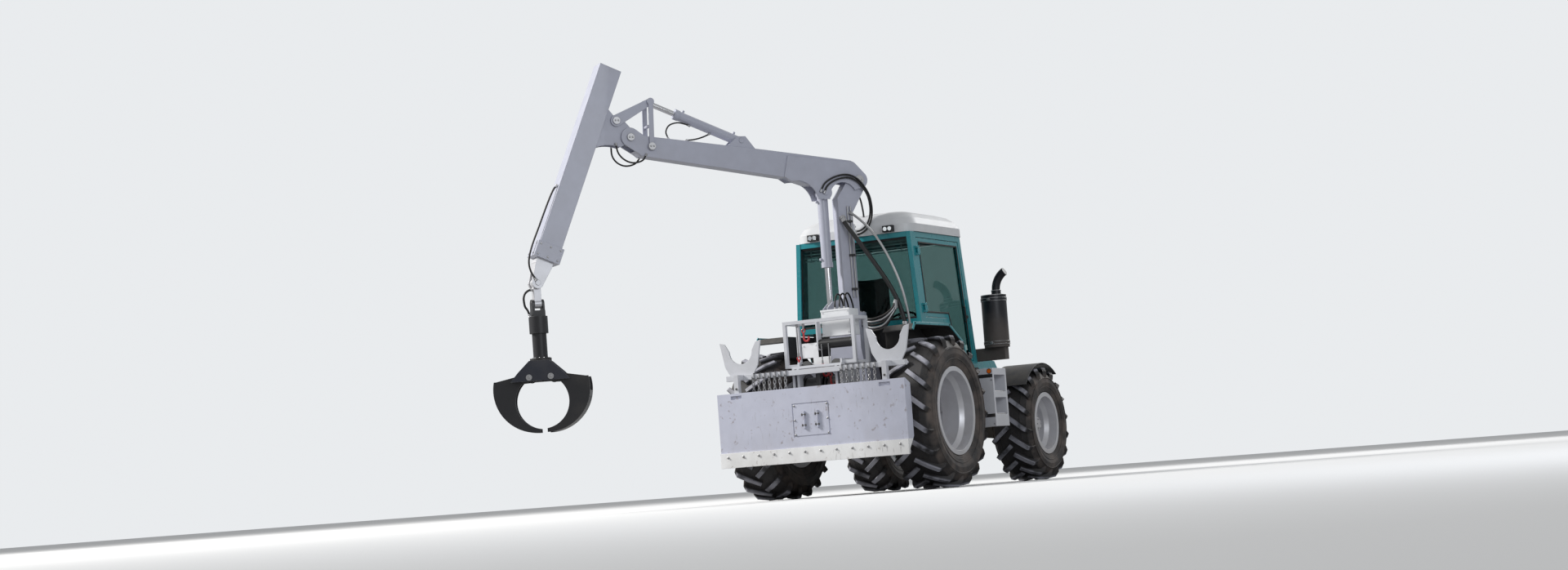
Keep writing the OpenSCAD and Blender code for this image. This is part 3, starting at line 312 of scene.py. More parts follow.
PLASTIC = finish("trim_plastic", (0.02, 0.02, 0.022), gloss_roughness=0.5, edge_wear=0.0, dust_amount=0.3,
                 mud_height=1.9, grain=0.4)
dress(GREY, "crane_base", "column", "boom", "lift_barrel", "rocker", "fold_barrel", "stick", "link")
dress(PALE, "rear_tower", "log_cradles", "fuel_tank", "battery_box")
dress(TEAL, "cab_frame", "door_left", "door_right", "hood")
dress(BLACK, "winch", "knuckle_left", "knuckle_right", "blade_barrel", "cross_link", "jaw_left", "jaw_right")
dress(CHASSIS, "main_frame", "rear_axle", "front_axle")
dress(IRON, "engine_block")
dress(ROOF, "cab_roof")
dress(WHITE, "valve_box")
dress(PLASTIC, "rear_fenders", "cab_tub", "cab_console", "hood_grille", "work_lamps")
dress(CHROME, "lift_rod", "fold_rod", "blade_rod")

# Rims and hubs
# Pressed steel rims, painted silver, with a deep dish. Ten studs hold each disc to its hub, and
# the weld between disc and barrel shows as a ring.
RIM = finish("rim_silver", (0.7, 0.7, 0.73), metallic=0.45, gloss_roughness=0.28, edge_wear=0.3,
             dust_amount=0.35, mud_height=1.5, mud_amount=0.35)
dress(RIM, "rim_rear_left", "rim_rear_right", "rim_front_left", "rim_front_right", "extension", "hanger")
VEHICLE = Matrix.Translation(AXLE)
HALF_TRACK, WHEELBASE = 1.03, 2.75
WHEEL_CENTRES = {"rear": (0.0, 0.875), "front": (WHEELBASE, 0.7)}
SIDES = ((-1, "left"), (1, "right"))
STUDS, COVER_BOLTS = 10, 6


def box_into(bm, low, high, frame=VEHICLE):
    """Adds a block between two corners."""
    size = [b - a for a, b in zip(low, high)]
    middle = Vector([(a + b) / 2 for a, b in zip(low, high)])
    bmesh.ops.create_cube(bm, size=1, matrix=frame @ Matrix.Translation(middle) @ Matrix.Diagonal((*size, 1)))


def rod_into(bm, a, b, radius, frame=VEHICLE, segments=24, end_radius=None):
    """Adds a round bar, or a cone, between two points."""
    a, b = Vector(a), Vector(b)
    turn = (b - a).to_track_quat("Z", "Y").to_matrix().to_4x4()
    bmesh.ops.create_cone(bm, cap_ends=True, segments=segments, radius1=radius,
                          radius2=radius if end_radius is None else end_radius, depth=(b - a).length,
                          matrix=frame @ Matrix.Translation((a + b) / 2) @ turn)


def ring_into(bm, centre, axis, radius, wire, frame=VEHICLE, steps=64, sides=8):
    """Adds a ring of round wire, spun about its axis."""
    turn = Vector(axis).to_track_quat("Z", "Y").to_matrix().to_4x4()
    upright = Matrix.Translation((radius, 0, 0)) @ Matrix.Rotation(math.radians(90), 4, "X")
    section = bmesh.ops.create_circle(bm, segments=sides, radius=wire, matrix=upright)["verts"]
    edges = list({e for v in section for e in v.link_edges})
    before = set(bm.verts) - set(section)
    bmesh.ops.spin(bm, geom=section + edges, cent=(0, 0, 0), axis=(0, 0, 1), angle=math.tau, steps=steps,
                   use_merge=True)
    made = [v for v in bm.verts if v not in before]
    bmesh.ops.transform(bm, matrix=frame @ Matrix.Translation(centre) @ turn, verts=made)


def bolt_into(bm, foot, axis, size, frame=VEHICLE, stud=0.0):
    """Adds a hex head on its washer, and the end of its stud."""
    foot, axis = Vector(foot), Vector(axis).normalized()
    rod_into(bm, foot - axis * size * 0.2, foot + axis * size * 0.3, size * 1.35, frame, 20)
    rod_into(bm, foot + axis * size * 0.3, foot + axis * size * 1.2, size, frame, 6)
    if stud:
        rod_into(bm, foot + axis * size * 1.2, foot + axis * (size * 1.2 + stud), size * 0.6, frame, 12)


def bolt_circle_into(bm, centre, axis, radius, count, size, frame=VEHICLE, stud=0.0, first=0.0):
    """Adds bolts evenly spaced round an axis that points along x or z."""
    for i in range(count):
        turn = math.tau * (i + first) / count
        a, b = radius * math.cos(turn), radius * math.sin(turn)
        bolt_into(bm, Vector(centre) + Vector((0, a, b) if axis[0] else (a, b, 0)), axis, size, frame, stud)


def bolt_grid_into(bm, xs, ys, zs, axis, size, frame=VEHICLE):
    """Adds a bolt at every crossing of these places."""
    for x in xs:
        for y in ys:
            for z in zs:
                bolt_into(bm, (x, y, z), axis, size, frame)


def piece(name, bm, material, body="chassis", soften=0.0, crease=32):
    """Closes a detail piece: faces outwards, shaded smooth up to a crease, riding on its body."""
    bmesh.ops.recalc_face_normals(bm, faces=bm.faces[:])
    made = link_mesh(name, bm)
    made.data.materials.append(material)
    for face in made.data.polygons:
        face.use_smooth = True
    made.data.set_sharp_from_angle(angle=math.radians(crease))
    if soften:
        bevel = made.modifiers.new("soft_edges", "BEVEL")
        bevel.width, bevel.segments, bevel.limit_method = soften, 2, "ANGLE"
    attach(made, body)
    return made


for axle, disc_x, stud_ring, cover_out, cover_ring, weld_ring in (
    ("rear", 0.848, 0.160, 0.1525, 0.112, 0.462),
    ("front", 1.0078, 0.128, 0.1526, 0.084, 0.292),
):
    wheel_y, wheel_z = WHEEL_CENTRES[axle]
    for side, name in SIDES:
        hub, outwards, cover_x = bmesh.new(), (side, 0, 0), disc_x + cover_out
        bolt_circle_into(hub, (side * disc_x, wheel_y, wheel_z), outwards, stud_ring, STUDS, 0.015,
                         stud=0.012, first=0.5)
        bolt_circle_into(hub, (side * cover_x, wheel_y, wheel_z), outwards, 0.062, COVER_BOLTS, 0.007)
        ring_into(hub, (side * (cover_x - 0.02), wheel_y, wheel_z), (1, 0, 0), cover_ring, 0.006)
        ring_into(hub, (side * (disc_x + 0.022), wheel_y, wheel_z), (1, 0, 0), weld_ring, 0.007, steps=96)
        valve_y, valve_z = wheel_y + weld_ring, wheel_z + 0.01
        rod_into(hub, (side * (disc_x + 0.02), valve_y - 0.05, valve_z),
                 (side * (disc_x + 0.075), valve_y - 0.035, valve_z), 0.006, segments=12)
        piece(f"hub_bolts_{axle}_{name}", hub, STEEL, f"wheel_{axle}_{name}")

# Tyres
# Forestry tyres of black rubber, with slanted lugs over a woven casing. The lug tops carry a painted bluish
# sheen that stands in for the sky's reflection, mixed with pale dust; mud dries in the grooves and brown dust
# covers the side walls. The chevrons point up at the rear of each wheel, so each casing is the node's shape
# turned end for end.


def tyre_rubber(axle, radius, rim_radius):
    """Rubber whose dust, mud and painted lug-top sheen follow the distance from the wheel's own axis."""
    material, recipe, shader = new_material(f"tyre_rubber_{axle}", "tyre_rubber")
    place, centre = recipe.place(), AXLE + Vector((0, *WHEEL_CENTRES[axle]))
    apart = recipe.add("SeparateXYZ", {0: recipe.add("Mapping", {"Vector": place, "Location": -centre})[0]})
    away = recipe.maths("SQRT", recipe.plus(recipe.maths("POWER", apart["Y"], 2.0),
                                            recipe.maths("POWER", apart["Z"], 2.0)))
    patches, fine = recipe.noise(place, 6.0, 8.0), recipe.noise(place, 90.0, 5.0)
    lug_top = recipe.ramp(away, radius - 0.035, radius - 0.008)
    groove = recipe.ramp(away, radius - 0.03, radius - 0.05)
    wall = recipe.ramp(away, radius - 0.06, radius - 0.1)
    # The lug tops are painted bluish grey: a painted sheen for the sky's reflection, partly real dust.
    lug_sheen_and_dust = recipe.times(lug_top, recipe.ramp(patches, 0.25, 0.6))
    mud = recipe.times(recipe.times(groove, recipe.ramp(fine, 0.4, 0.65)), 0.55)
    dust = recipe.times(recipe.times(wall, recipe.ramp(patches, 0.3, 0.75)), 0.7)
    rubber = recipe.mix(recipe.ramp(patches, 0.3, 0.7), (0.016, 0.016, 0.018, 1), (0.034, 0.033, 0.036, 1))
    # Painted lug-top sheen with dust, then mud in the grooves, then dust on the side walls.
    for amount, tone in ((lug_sheen_and_dust, (0.36, 0.36, 0.41, 1)), (mud, (0.05, 0.04, 0.033, 1)),
                         (dust, (0.16, 0.125, 0.105, 1))):
        rubber = recipe.mix(amount, rubber, tone)
    ribs = recipe.times(recipe.maths("SINE", recipe.times(away, 420.0)),
                        recipe.ramp(away, rim_radius + 0.1, rim_radius + 0.06))
    rounded = recipe.add("Bevel", {"Radius": 0.012}, samples=4)[0]
    recipe.feed(shader, {
        "Base Color": rubber,
        "Roughness": recipe.plus(0.42, recipe.times(patches, 0.35), clamp=True),
        "Normal": recipe.bump(recipe.plus(recipe.times(fine, 0.8), ribs), 0.5, rounded),
    })
    return material


for axle, rubber, ribs in (
    ("rear", tyre_rubber("rear", 0.875, 0.4825), ((0.285, 0.60), (0.2925, 0.722))),
    ("front", tyre_rubber("front", 0.7, 0.3555), ((0.253, 0.455), (0.2625, 0.562))),
):
    wheel_y, wheel_z = WHEEL_CENTRES[axle]
    about_axle = Matrix.Translation((0, 2 * (AXLE.y + wheel_y), 0)) @ Matrix.Diagonal((1, -1, 1, 1))
    dress(rubber, f"tyre_{axle}_left", f"tyre_{axle}_right")
    for side, name in SIDES:
        wall_ribs = bmesh.new()
        for out, radius in ribs:
            for face in (-1, 1):
                ring_into(wall_ribs, (side * HALF_TRACK + face * out, wheel_y, wheel_z), (1, 0, 0), radius,
                          0.006, steps=96)
        piece(f"wall_ribs_{axle}_{name}", wall_ribs, rubber, f"wheel_{axle}_{name}")
        chevrons = bmesh.new()
        chevrons.from_mesh(NODES[f"tyre_{axle}_{name}"].data)
        bmesh.ops.transform(chevrons, matrix=about_axle, verts=chevrons.verts[:])
        casing = piece(f"tyre_casing_{axle}_{name}", chevrons, rubber, f"wheel_{axle}_{name}")
        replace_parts(casing, f"tyre_{axle}_{name}")

# Cab glass and seals
# Tinted safety glass, bonded or held in black rubber profiles. The cab's sides lean inwards from
# the waist up, and folded slats shade the rear window.


def pane(name, colour, slot=None, **sockets):
    """Glass or a clear lens; sockets name the shader's own, as words joined by underscores."""
    material, recipe, shader = new_material(name, slot)
    recipe.feed(shader, {"Base Color": (*colour, 1)})
    recipe.feed(shader, {key.replace("_", " "): value for key, value in sockets.items()})
    return material


dress(pane("window_glass", (0.22, 0.33, 0.32), Roughness=0.0, Transmission_Weight=1.0, IOR=1.2),
      "cab_glass", "door_glass_left", "door_glass_right")
SEAL = finish("seal_rubber", (0.015, 0.015, 0.016), slot="trim_plastic", gloss_roughness=0.6,
              edge_wear=0.0, dust_amount=0.3)
WAIST_Z, SIDE_X, LEAN = 2.0, 0.82, math.radians(3.5)


def cab_side(side):
    """The leaned frame of a cab side: x outwards from its outer face, z up from the waist."""
    return VEHICLE @ Matrix.Translation((side * SIDE_X, 0, WAIST_Z)) @ Matrix.Rotation(-side * LEAN, 4, "Y")


def strip_into(bm, corners, width, thick, across, frame=VEHICLE):
    """Adds a strip of flat profile along straight runs from corner to corner."""
    across = Vector(across)
    for a, b in zip(corners, corners[1:]):
        a, b = Vector(a), Vector(b)
        run = (b - a).normalized()
        turn = Matrix((run, run.cross(across), across)).transposed().to_4x4()
        bmesh.ops.create_cube(bm, size=1, matrix=frame @ Matrix.Translation((a + b) / 2) @ turn
                              @ Matrix.Diagonal(((b - a).length + width, width, thick, 1)))


PANE_EDGE = ((0.452, 0.072), (1.049, 0.072), (1.169, -0.438), (1.552, -0.438), (1.528, 0.903), (0.452, 0.903))
ARCH_EDGE = ((-0.425, 1.842), (-0.378, 1.903), (0.572, 1.903), (0.93, 1.703), (1.038, 1.432))
ARCH_X, HANDLE_Y, LOCK_Y = 1.0235, 1.50, 1.565
for side, name in SIDES:
    leaned = cab_side(side)
    seal = bmesh.new()
    edge = [(-side * 0.0035, y, z) for y, z in PANE_EDGE + PANE_EDGE[:1]]
    strip_into(seal, edge, 0.02, 0.007, (1, 0, 0), leaned)
    piece(f"door_seal_{name}", seal, SEAL, f"door_{name}", soften=0.002)
    handle = bmesh.new()
    rod_into(handle, (side * 0.016, HANDLE_Y, -0.02), (side * 0.016, HANDLE_Y, 0.16), 0.011, leaned)
    for z in (-0.02, 0.16):
        rod_into(handle, (-side * 0.004, HANDLE_Y, z), (side * 0.02, HANDLE_Y, z), 0.012, leaned)
    rod_into(handle, (-side * 0.004, LOCK_Y, 0.04), (side * 0.012, LOCK_Y, 0.04), 0.02, leaned, 20)
    piece(f"door_handle_{name}", handle, PLASTIC, f"door_{name}", soften=0.002)
    lip = bmesh.new()
    strip_into(lip, [(side * ARCH_X, y, z) for y, z in ARCH_EDGE], 0.03, 0.014, (1, 0, 0))
    piece(f"arch_lip_{name}", lip, TEAL, soften=0.003)

rear_seal = bmesh.new()
low_half, high_half = (0.762 - (z - WAIST_Z) * math.tan(LEAN) for z in (2.012, 2.958))
corners = [(x, 0.2765, z) for x, z in ((-low_half, 2.012), (low_half, 2.012), (high_half, 2.958),
                                       (-high_half, 2.958), (-low_half, 2.012))]
strip_into(rear_seal, corners, 0.026, 0.007, (0, 1, 0))
piece("rear_window_seal", rear_seal, SEAL, soften=0.002)

sun_slats = bmesh.new()
for z in (2.925, 2.885, 2.845, 2.805):
    box_into(sun_slats, (-0.68, 0.31, z), (0.68, 0.318, z + 0.016))
for x in (-0.6, 0.6):
    box_into(sun_slats, (x - 0.006, 0.318, 2.80), (x + 0.006, 0.324, 2.967))
piece("sun_slats", sun_slats, WHITE, soften=0.001)

# Lamps
# Work lamps in black housings under the roof's edge, each a bright bowl behind a clear lens.
BOWL = finish("lamp_bowl", (0.85, 0.85, 0.86), metallic=1.0, slot="lamp_lens", gloss_roughness=0.08,
              edge_wear=0.0, dust_amount=0.0, mud_amount=0.0, grain=0.0)
LENS = pane("lamp_lens", (0.95, 0.97, 0.97), Roughness=0.02, Transmission_Weight=1.0, IOR=1.3)
AMBER = pane("amber_lens", (0.85, 0.16, 0.01), "lamp_lens", Roughness=0.12, Coat_Weight=0.6)
LAMP_Z = 3.0775
bezels, bowls, lenses = bmesh.new(), bmesh.new(), bmesh.new()
for x in (-0.5, 0.5):
    for y, way in ((0.18, -1), (1.86, 1)):
        for bulb_x in (x - 0.03, x + 0.03):
            ring_into(bezels, (bulb_x, y - way * 0.001, LAMP_Z), (0, 1, 0), 0.0275, 0.003, steps=32)
            rod_into(bowls, (bulb_x, y - way * 0.003, LAMP_Z), (bulb_x, y + way * 0.001, LAMP_Z), 0.026)
            rod_into(lenses, (bulb_x, y + way * 0.0012, LAMP_Z), (bulb_x, y + way * 0.004, LAMP_Z), 0.025)
        for z in (LAMP_Z - 0.036, LAMP_Z + 0.036):
            box_into(bezels, (x - 0.065, y - way * 0.002 - 0.003, z - 0.0015),
                     (x + 0.065, y - way * 0.002 + 0.003, z + 0.0015))
piece("lamp_bezels", bezels, PLASTIC)
piece("lamp_bowls", bowls, BOWL)
piece("lamp_lenses", lenses, LENS)

# Rear blade
# A heavy plate for pushing and for steadying the machine. A bolted wear plate forms its lower edge,
# a hatch in the middle carries two slotted lugs, and stones have scratched the paint.


def blade_paint():
    """Grey paint above and the wear plate below, painted near-white as a painted reflection of the sky on its
    polished steel; both scratched, with rust at the deepest marks.
    """
    material, recipe, shader = new_material("blade_paint", "grey_paint")
    place = recipe.place()
    height = recipe.add("SeparateXYZ", {0: place})["Z"]
    wear_plate_sheen = recipe.ramp(recipe.plus(height, recipe.times(recipe.noise(place, 4.0, 3.0), 0.006)), 0.586, 0.582)
    scratches = recipe.noise(place, 26.0, 6.0, stretch=(1.6, 1.0, 0.22))
    scratched = recipe.times(recipe.ramp(scratches, 0.6, 0.68),
                             recipe.ramp(recipe.noise(place, 2.4, 4.0), 0.42, 0.62))
    rusty = recipe.times(recipe.ramp(recipe.noise(place, 15.0, 9.0), 0.62, 0.72), 0.5)
    # The wear plate is painted near-white: a painted reflection of the sky on its polished steel.
    paint = recipe.mix(wear_plate_sheen, (0.6, 0.615, 0.725, 1), (0.95, 0.95, 0.95, 1))
    paint = recipe.mix(recipe.times(scratched, 0.55), paint, (0.3, 0.29, 0.3, 1))
    paint = recipe.mix(rusty, paint, (0.2, 0.13, 0.1, 1))
    weather(recipe, shader, paint, edge_wear=0.8, dust_amount=0.3, mud_amount=0.35, gloss_roughness=0.36,
            grain=0.2)
    return material


dress(blade_paint(), "blade")
WEAR_FACE, HATCH_FACE, LUG_Y, PLATE_FACE = -1.145, -1.130, -1.142, -1.109
BACKWARDS = (0, -1, 0)
wear_bolts = bmesh.new()
bolt_grid_into(wear_bolts, [-1.1 + 0.2 * i for i in range(12)], [WEAR_FACE], [0.53], BACKWARDS, 0.011)
bolt_grid_into(wear_bolts, (-0.21, 0.21), [HATCH_FACE], (0.725, 0.89, 1.055), BACKWARDS, 0.009)
piece("blade_bolts", wear_bolts, STEEL, "blade")
lug_pins = bmesh.new()
for x in (-0.085, 0.085):
    for z in (0.83, 0.95):
        rod_into(lug_pins, (x - 0.02, LUG_Y, z), (x + 0.02, LUG_Y, z), 0.011, segments=16)
        rod_into(lug_pins, (x - 0.026, LUG_Y, z), (x - 0.02, LUG_Y, z), 0.016, segments=16)
bolt_grid_into(lug_pins, (-0.95, 0.95), [PLATE_FACE], (1.13, 1.31), BACKWARDS, 0.01)
piece("hatch_pins", lug_pins, IRON, "blade")

# Choker chains
# Forged links of bright round steel. Each strand hangs down from an open hook that is welded to the
# crossbeam.
CHAIN = finish("chain_steel", (0.4, 0.4, 0.41), metallic=0.9, gloss_roughness=0.3, edge_wear=0.6,
               dust_amount=0.3, mud_amount=0.3)
chains = bmesh.new()
LINK_STRAIGHT, LINK_BEND, LINK_WIRE, LINK_PITCH = 0.020, 0.0137, 0.0062, 0.043


def link_into(bm, top, turned):
    """Adds one link: round wire spun round two ends and joined along two straights."""

    def half_turn(geom, z):
        spun = bmesh.ops.spin(bm, geom=geom, cent=(0, 0, z), axis=(0, -1, 0), angle=math.pi, steps=6)
        return spun["geom_last"]

    def of_kind(geom, kind):
        return [g for g in geom if isinstance(g, kind)]

    start = bmesh.ops.create_circle(bm, segments=8, radius=LINK_WIRE,
                                    matrix=Matrix.Translation((LINK_BEND, 0, LINK_STRAIGHT / 2)))["verts"]
    first = list({e for v in start for e in v.link_edges})
    edge, vert = bmesh.types.BMEdge, bmesh.types.BMVert
    turn = half_turn(start + first, LINK_STRAIGHT / 2)
    run = bmesh.ops.extrude_edge_only(bm, edges=of_kind(turn, edge))["geom"]
    ends = of_kind(run, vert)
    bmesh.ops.translate(bm, verts=ends, vec=(0, 0, -LINK_STRAIGHT))
    last = half_turn(ends + of_kind(run, edge), -LINK_STRAIGHT / 2)
    bmesh.ops.bridge_loops(bm, edges=first + of_kind(last, edge))
    reached = {start[0]}
    grown = [start[0]]
    while grown:
        grown = [v for g in grown for e in g.link_edges for v in e.verts if v not in reached]
        reached.update(grown)
    quarter = Matrix.Rotation(math.radians(90 if turned else 0), 4, "Z")
    bmesh.ops.transform(bm, matrix=VEHICLE @ Matrix.Translation(top) @ quarter, verts=list(reached))


for x, links_down in (
    (-0.78, 6), (-0.71, 7), (-0.64, 5), (-0.57, 7), (-0.50, 6), (-0.43, 5), (-0.36, 6),
    (0.36, 5), (0.43, 6), (0.50, 5), (0.57, 7), (0.64, 6), (0.71, 5), (0.78, 7),
):
    for y0, y1, z0, z1 in ((-0.987, -0.935, 1.4703, 1.48), (-0.987, -0.9753, 1.41, 1.48),
                           (-1.032, -0.9753, 1.41, 1.42), (-1.032, -1.022, 1.41, 1.44)):
        box_into(chains, (x - 0.005, y0, z0), (x + 0.005, y1, z1))
    for i in range(links_down):
        link_into(chains, (x, -1.005, 1.398 - i * LINK_PITCH), i % 2 == 0)
chain_piece = piece("choker_chain_links", chains, CHAIN, "blade")
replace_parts(chain_piece, "choker_chains")

# Winch and rope
# Two drums between flanges inside the tower, wound with steel rope. The rope runs past a rubber
# roller, a sheet guard and two sheaves, and red hooks hold its ends.
ROPE = finish("winch_rope", (0.3, 0.3, 0.31), metallic=0.7, slot="chain_steel", gloss_roughness=0.4,
              edge_wear=0.2, dust_amount=0.4)
RED = finish("hook_red", (0.5, 0.012, 0.02), coat=0.3, slot="grey_paint", gloss_roughness=0.3,
             edge_wear=0.7, dust_amount=0.3)
DRUM_Y, DRUM_Z = -0.62, 1.26
rope = bmesh.new()
for start, turns in ((-0.246, 17), (0.04, 16)):
    for i in range(turns):
        ring_into(rope, (start + i * 0.0125, DRUM_Y, DRUM_Z), (1, 0, 0.012), 0.1165, 0.0064, steps=40,
                  sides=6)
piece("winch_rope", rope, ROPE)
flange_bolts = bmesh.new()
for x, way in ((-0.2621, -1), (0.2621, 1), (-0.02, -1), (0.032, 1)):
    bolt_circle_into(flange_bolts, (x, DRUM_Y, DRUM_Z), (way, 0, 0), 0.138, 8, 0.007)
piece("winch_bolts", flange_bolts, STEEL)


def hook_into(bm, x, y, z, frame=VEHICLE):
    """Adds a round steel hook with its shank and eye, its point turned up."""
    rod_into(bm, (x, y, z), (x, y, z + 0.07), 0.011, frame, 16)
    ring_into(bm, (x, y, z + 0.088), (0, 1, 0), 0.02, 0.008, frame, steps=24)
    section = bmesh.ops.create_circle(bm, segments=10, radius=0.012, cap_ends=True,
                                      matrix=Matrix.Translation((-0.032, 0, 0)))["verts"]
    before = set(bm.verts) - set(section)
    edges, faces = {e for v in section for e in v.link_edges}, {f for v in section for f in v.link_faces}
    bmesh.ops.spin(bm, geom=[*section, *edges, *faces], cent=(0, 0, 0), axis=(0, -1, 0),
                   angle=math.radians(215), steps=14)
    made = [v for v in bm.verts if v not in before]
    bmesh.ops.transform(bm, matrix=frame @ Matrix.Translation((x + 0.032, y, z)), verts=made)


hooks, tails = bmesh.new(), bmesh.new()
BAR_LOW, BAR_Y, ROLLER_Y, ROLLER_BACK, ROLLER_Z = 2.0, -0.78, -0.745, -0.8035, 1.745
for x, z, from_bar in ((-0.20, 1.83, True), (-0.285, 1.52, True), (0.03, 1.41, False), (0.12, 1.30, False)):
    hang_y, top = (BAR_Y, BAR_LOW) if from_bar else (ROLLER_BACK, ROLLER_Z)
    hook_into(hooks, x, hang_y, z)
    rod_into(tails, (x, hang_y, z + 0.1), (x, hang_y, top), 0.006, segments=10)
    rod_into(tails, (x, hang_y, z + 0.104), (x, hang_y, z + 0.15), 0.011, segments=12)
    if from_bar:
        box_into(tails, (x - 0.012, hang_y - 0.012, top - 0.03), (x + 0.012, hang_y + 0.012, top + 0.002))
piece("rope_hooks", hooks, RED)
piece("rope_tails", tails, ROPE)
sleeve = bmesh.new()
rod_into(sleeve, (-0.0125, ROLLER_Y, ROLLER_Z), (0.4195, ROLLER_Y, ROLLER_Z), 0.0565, segments=64)
for x in (0.0, 0.407):
    ring_into(sleeve, (x, ROLLER_Y, ROLLER_Z), (1, 0, 0), 0.0545, 0.004, steps=48)
ROLLER = finish("roller_rubber", (0.011, 0.011, 0.013), slot="black_paint", edge_wear=0.1,
                dust_amount=0.05, mud_amount=0.0)
piece("rope_roller_sleeve", sleeve, ROLLER, soften=0.002)
GUARD_BACK, GUARD_FRONT = -0.765, -0.759
guard = bmesh.new()
box_into(guard, (-0.245, GUARD_BACK, 1.60), (-0.035, GUARD_FRONT, 1.77))
box_into(guard, (-0.105, GUARD_BACK, 1.44), (0.12, GUARD_FRONT, 1.6005))
for x, z in ((-0.22, 1.74), (-0.06, 1.74), (-0.08, 1.46), (0.095, 1.46), (0.095, 1.58)):
    bolt_into(guard, (x, GUARD_BACK, z), BACKWARDS, 0.007)
for x in (-0.07, 0.08):
    box_into(guard, (x - 0.015, -0.7595, 1.47), (x + 0.015, -0.742, 1.53))
box_into(guard, (-0.035, GUARD_BACK, 1.72), (-0.0295, -0.72, 1.77))
piece("rope_guard", guard, WHITE, soften=0.001)
SHEAVE_Z = 1.50
sheaves = bmesh.new()
for x in (-0.185, 0.2):
    for y in (-0.795, -0.765):
        rod_into(sheaves, (x, y - 0.004, SHEAVE_Z), (x, y + 0.004, SHEAVE_Z), 0.066, segments=48)
    rod_into(sheaves, (x, -0.795, SHEAVE_Z), (x, -0.74, SHEAVE_Z), 0.052, segments=48)
    bolt_into(sheaves, (x, -0.799, SHEAVE_Z), BACKWARDS, 0.012)
piece("rope_sheaves", sheaves, IRON)

# Valve box and tower
# The folded sheet cover over the crane's valves, and the welded frame that carries it.
COVER_FACE, COVER_SIDE = -0.7197, 0.376
cover = bmesh.new()
for z0, z1 in ((2.112, 2.134), (1.826, 1.84)):
    box_into(cover, (0.004, -0.7235, z0), (COVER_SIDE, COVER_FACE, z1))
bolt_grid_into(cover, (0.03, 0.35), [COVER_FACE], (1.86, 2.10), BACKWARDS, 0.007)
for y in (-0.66, -0.54):
    box_into(cover, (0.3697, y - 0.03, 1.94), (COVER_SIDE, y + 0.03, 1.965))
piece("valve_cover_edges", cover, WHITE, soften=0.0015)
tower_bolts = bmesh.new()
for side, _ in SIDES:
    for y, z in ((-0.78, 0.82), (-0.56, 0.82), (-0.78, 1.5), (-0.44, 1.5), (-0.44, 1.15), (-0.56, 1.02)):
        bolt_into(tower_bolts, (side * 0.287, y, z), (side, 0, 0), 0.012)
piece("tower_bolts", tower_bolts, STEEL)

# Exhaust
# A silencer in a painted sheet jacket with clamp bands, an outlet elbow with a rolled edge, and
# soot at its mouth. Heat has dulled the upper half and dust sticks to the lower one.


def exhaust_paint():
    """Black paint, dusty and dull below."""
    material, recipe, shader = new_material("exhaust_paint", "black_paint")
    place = recipe.place()
    height = recipe.add("SeparateXYZ", {0: place})["Z"]
    low = recipe.ramp(recipe.plus(height, recipe.times(recipe.noise(place, 5.0, 8.0), 0.35)), 2.3, 1.95)
    recipe.feed(shader, {
        "Base Color": recipe.mix(recipe.times(low, 0.85), (0.011, 0.012, 0.018, 1), (0.1, 0.086, 0.078, 1)),
        "Roughness": recipe.plus(0.36, recipe.times(low, 0.35)),
        "Normal": recipe.bump(recipe.noise(place, 60.0, 4.0), 0.3),
    })
    return material


dress(exhaust_paint(), "exhaust")
SILENCER_X, SILENCER_Y = 1.06, 1.86
bands = bmesh.new()
for z in (1.705, 2.235):
    for edge in (z - 0.017, z + 0.017):
        ring_into(bands, (SILENCER_X, SILENCER_Y, edge), (0, 0, 1), 0.1595, 0.003)
    box_into(bands, (1.045, 1.692, z - 0.014), (1.075, 1.702, z + 0.014))
    rod_into(bands, (1.035, 1.697, z), (1.085, 1.697, z), 0.005, segments=12)
ring_into(bands, (1.10, SILENCER_Y, 2.345), (0, 0, 1), 0.058, 0.005, steps=48)
ring_into(bands, (SILENCER_X, SILENCER_Y, 2.289), (0, 0, 1), 0.152, 0.005)
piece("exhaust_bands", bands, STEEL)

# Fuel tank and battery box
# Folded steel boxes with two steps let into the outer face, a filler cap and a round reflector.
BOX_BACK, STEP_EDGE, MARKER_X, MARKER_Z = 1.0205, 1.312, 1.29, 1.335
for side, name in ((1, "tank"), (-1, "battery")):
    fittings = bmesh.new()
    for z in (0.82, 1.09):
        for i in range(5):
            y = 1.08 + i * 0.075
            box_into(fittings, (side * 1.255 - 0.06, y, z), (side * 1.255 + 0.06, y + 0.018, z + 0.012))
        rod_into(fittings, (side * STEP_EDGE, 1.062, z + 0.006), (side * STEP_EDGE, 1.378, z + 0.006), 0.008,
                 segments=12)
    bolt_grid_into(fittings, (side * 0.915, side * STEP_EDGE), [BOX_BACK], (0.71, 1.23), BACKWARDS, 0.007)
    piece(f"{name}_steps", fittings, STEEL)
    cap, cap_x, cap_y = bmesh.new(), side * 1.02, 1.22
    rod_into(cap, (cap_x, cap_y, 1.37), (cap_x, cap_y, 1.40), 0.045, segments=32)
    for i in range(8):
        turn = math.tau * i / 8
        x, y = cap_x + 0.044 * math.cos(turn), cap_y + 0.044 * math.sin(turn)
        rod_into(cap, (x, y, 1.375), (x, y, 1.398), 0.006, segments=8)
    piece(f"{name}_cap", cap, PLASTIC, soften=0.001)
    marker, marker_x = bmesh.new(), side * MARKER_X
    rod_into(marker, (marker_x, 1.021, MARKER_Z), (marker_x, 1.014, MARKER_Z), 0.026, segments=32)
    piece(f"{name}_reflector", marker, AMBER, soften=0.001)
    straps = bmesh.new()
    ring_into(straps, (marker_x, 1.017, MARKER_Z), (0, 1, 0), 0.0275, 0.004, steps=32)
    for z in (0.79, 1.26):
        box_into(straps, (side * 1.115 - 0.215, 1.0165, z), (side * 1.115 + 0.213, BOX_BACK, z + 0.04))
    piece(f"{name}_straps", straps, PLASTIC)

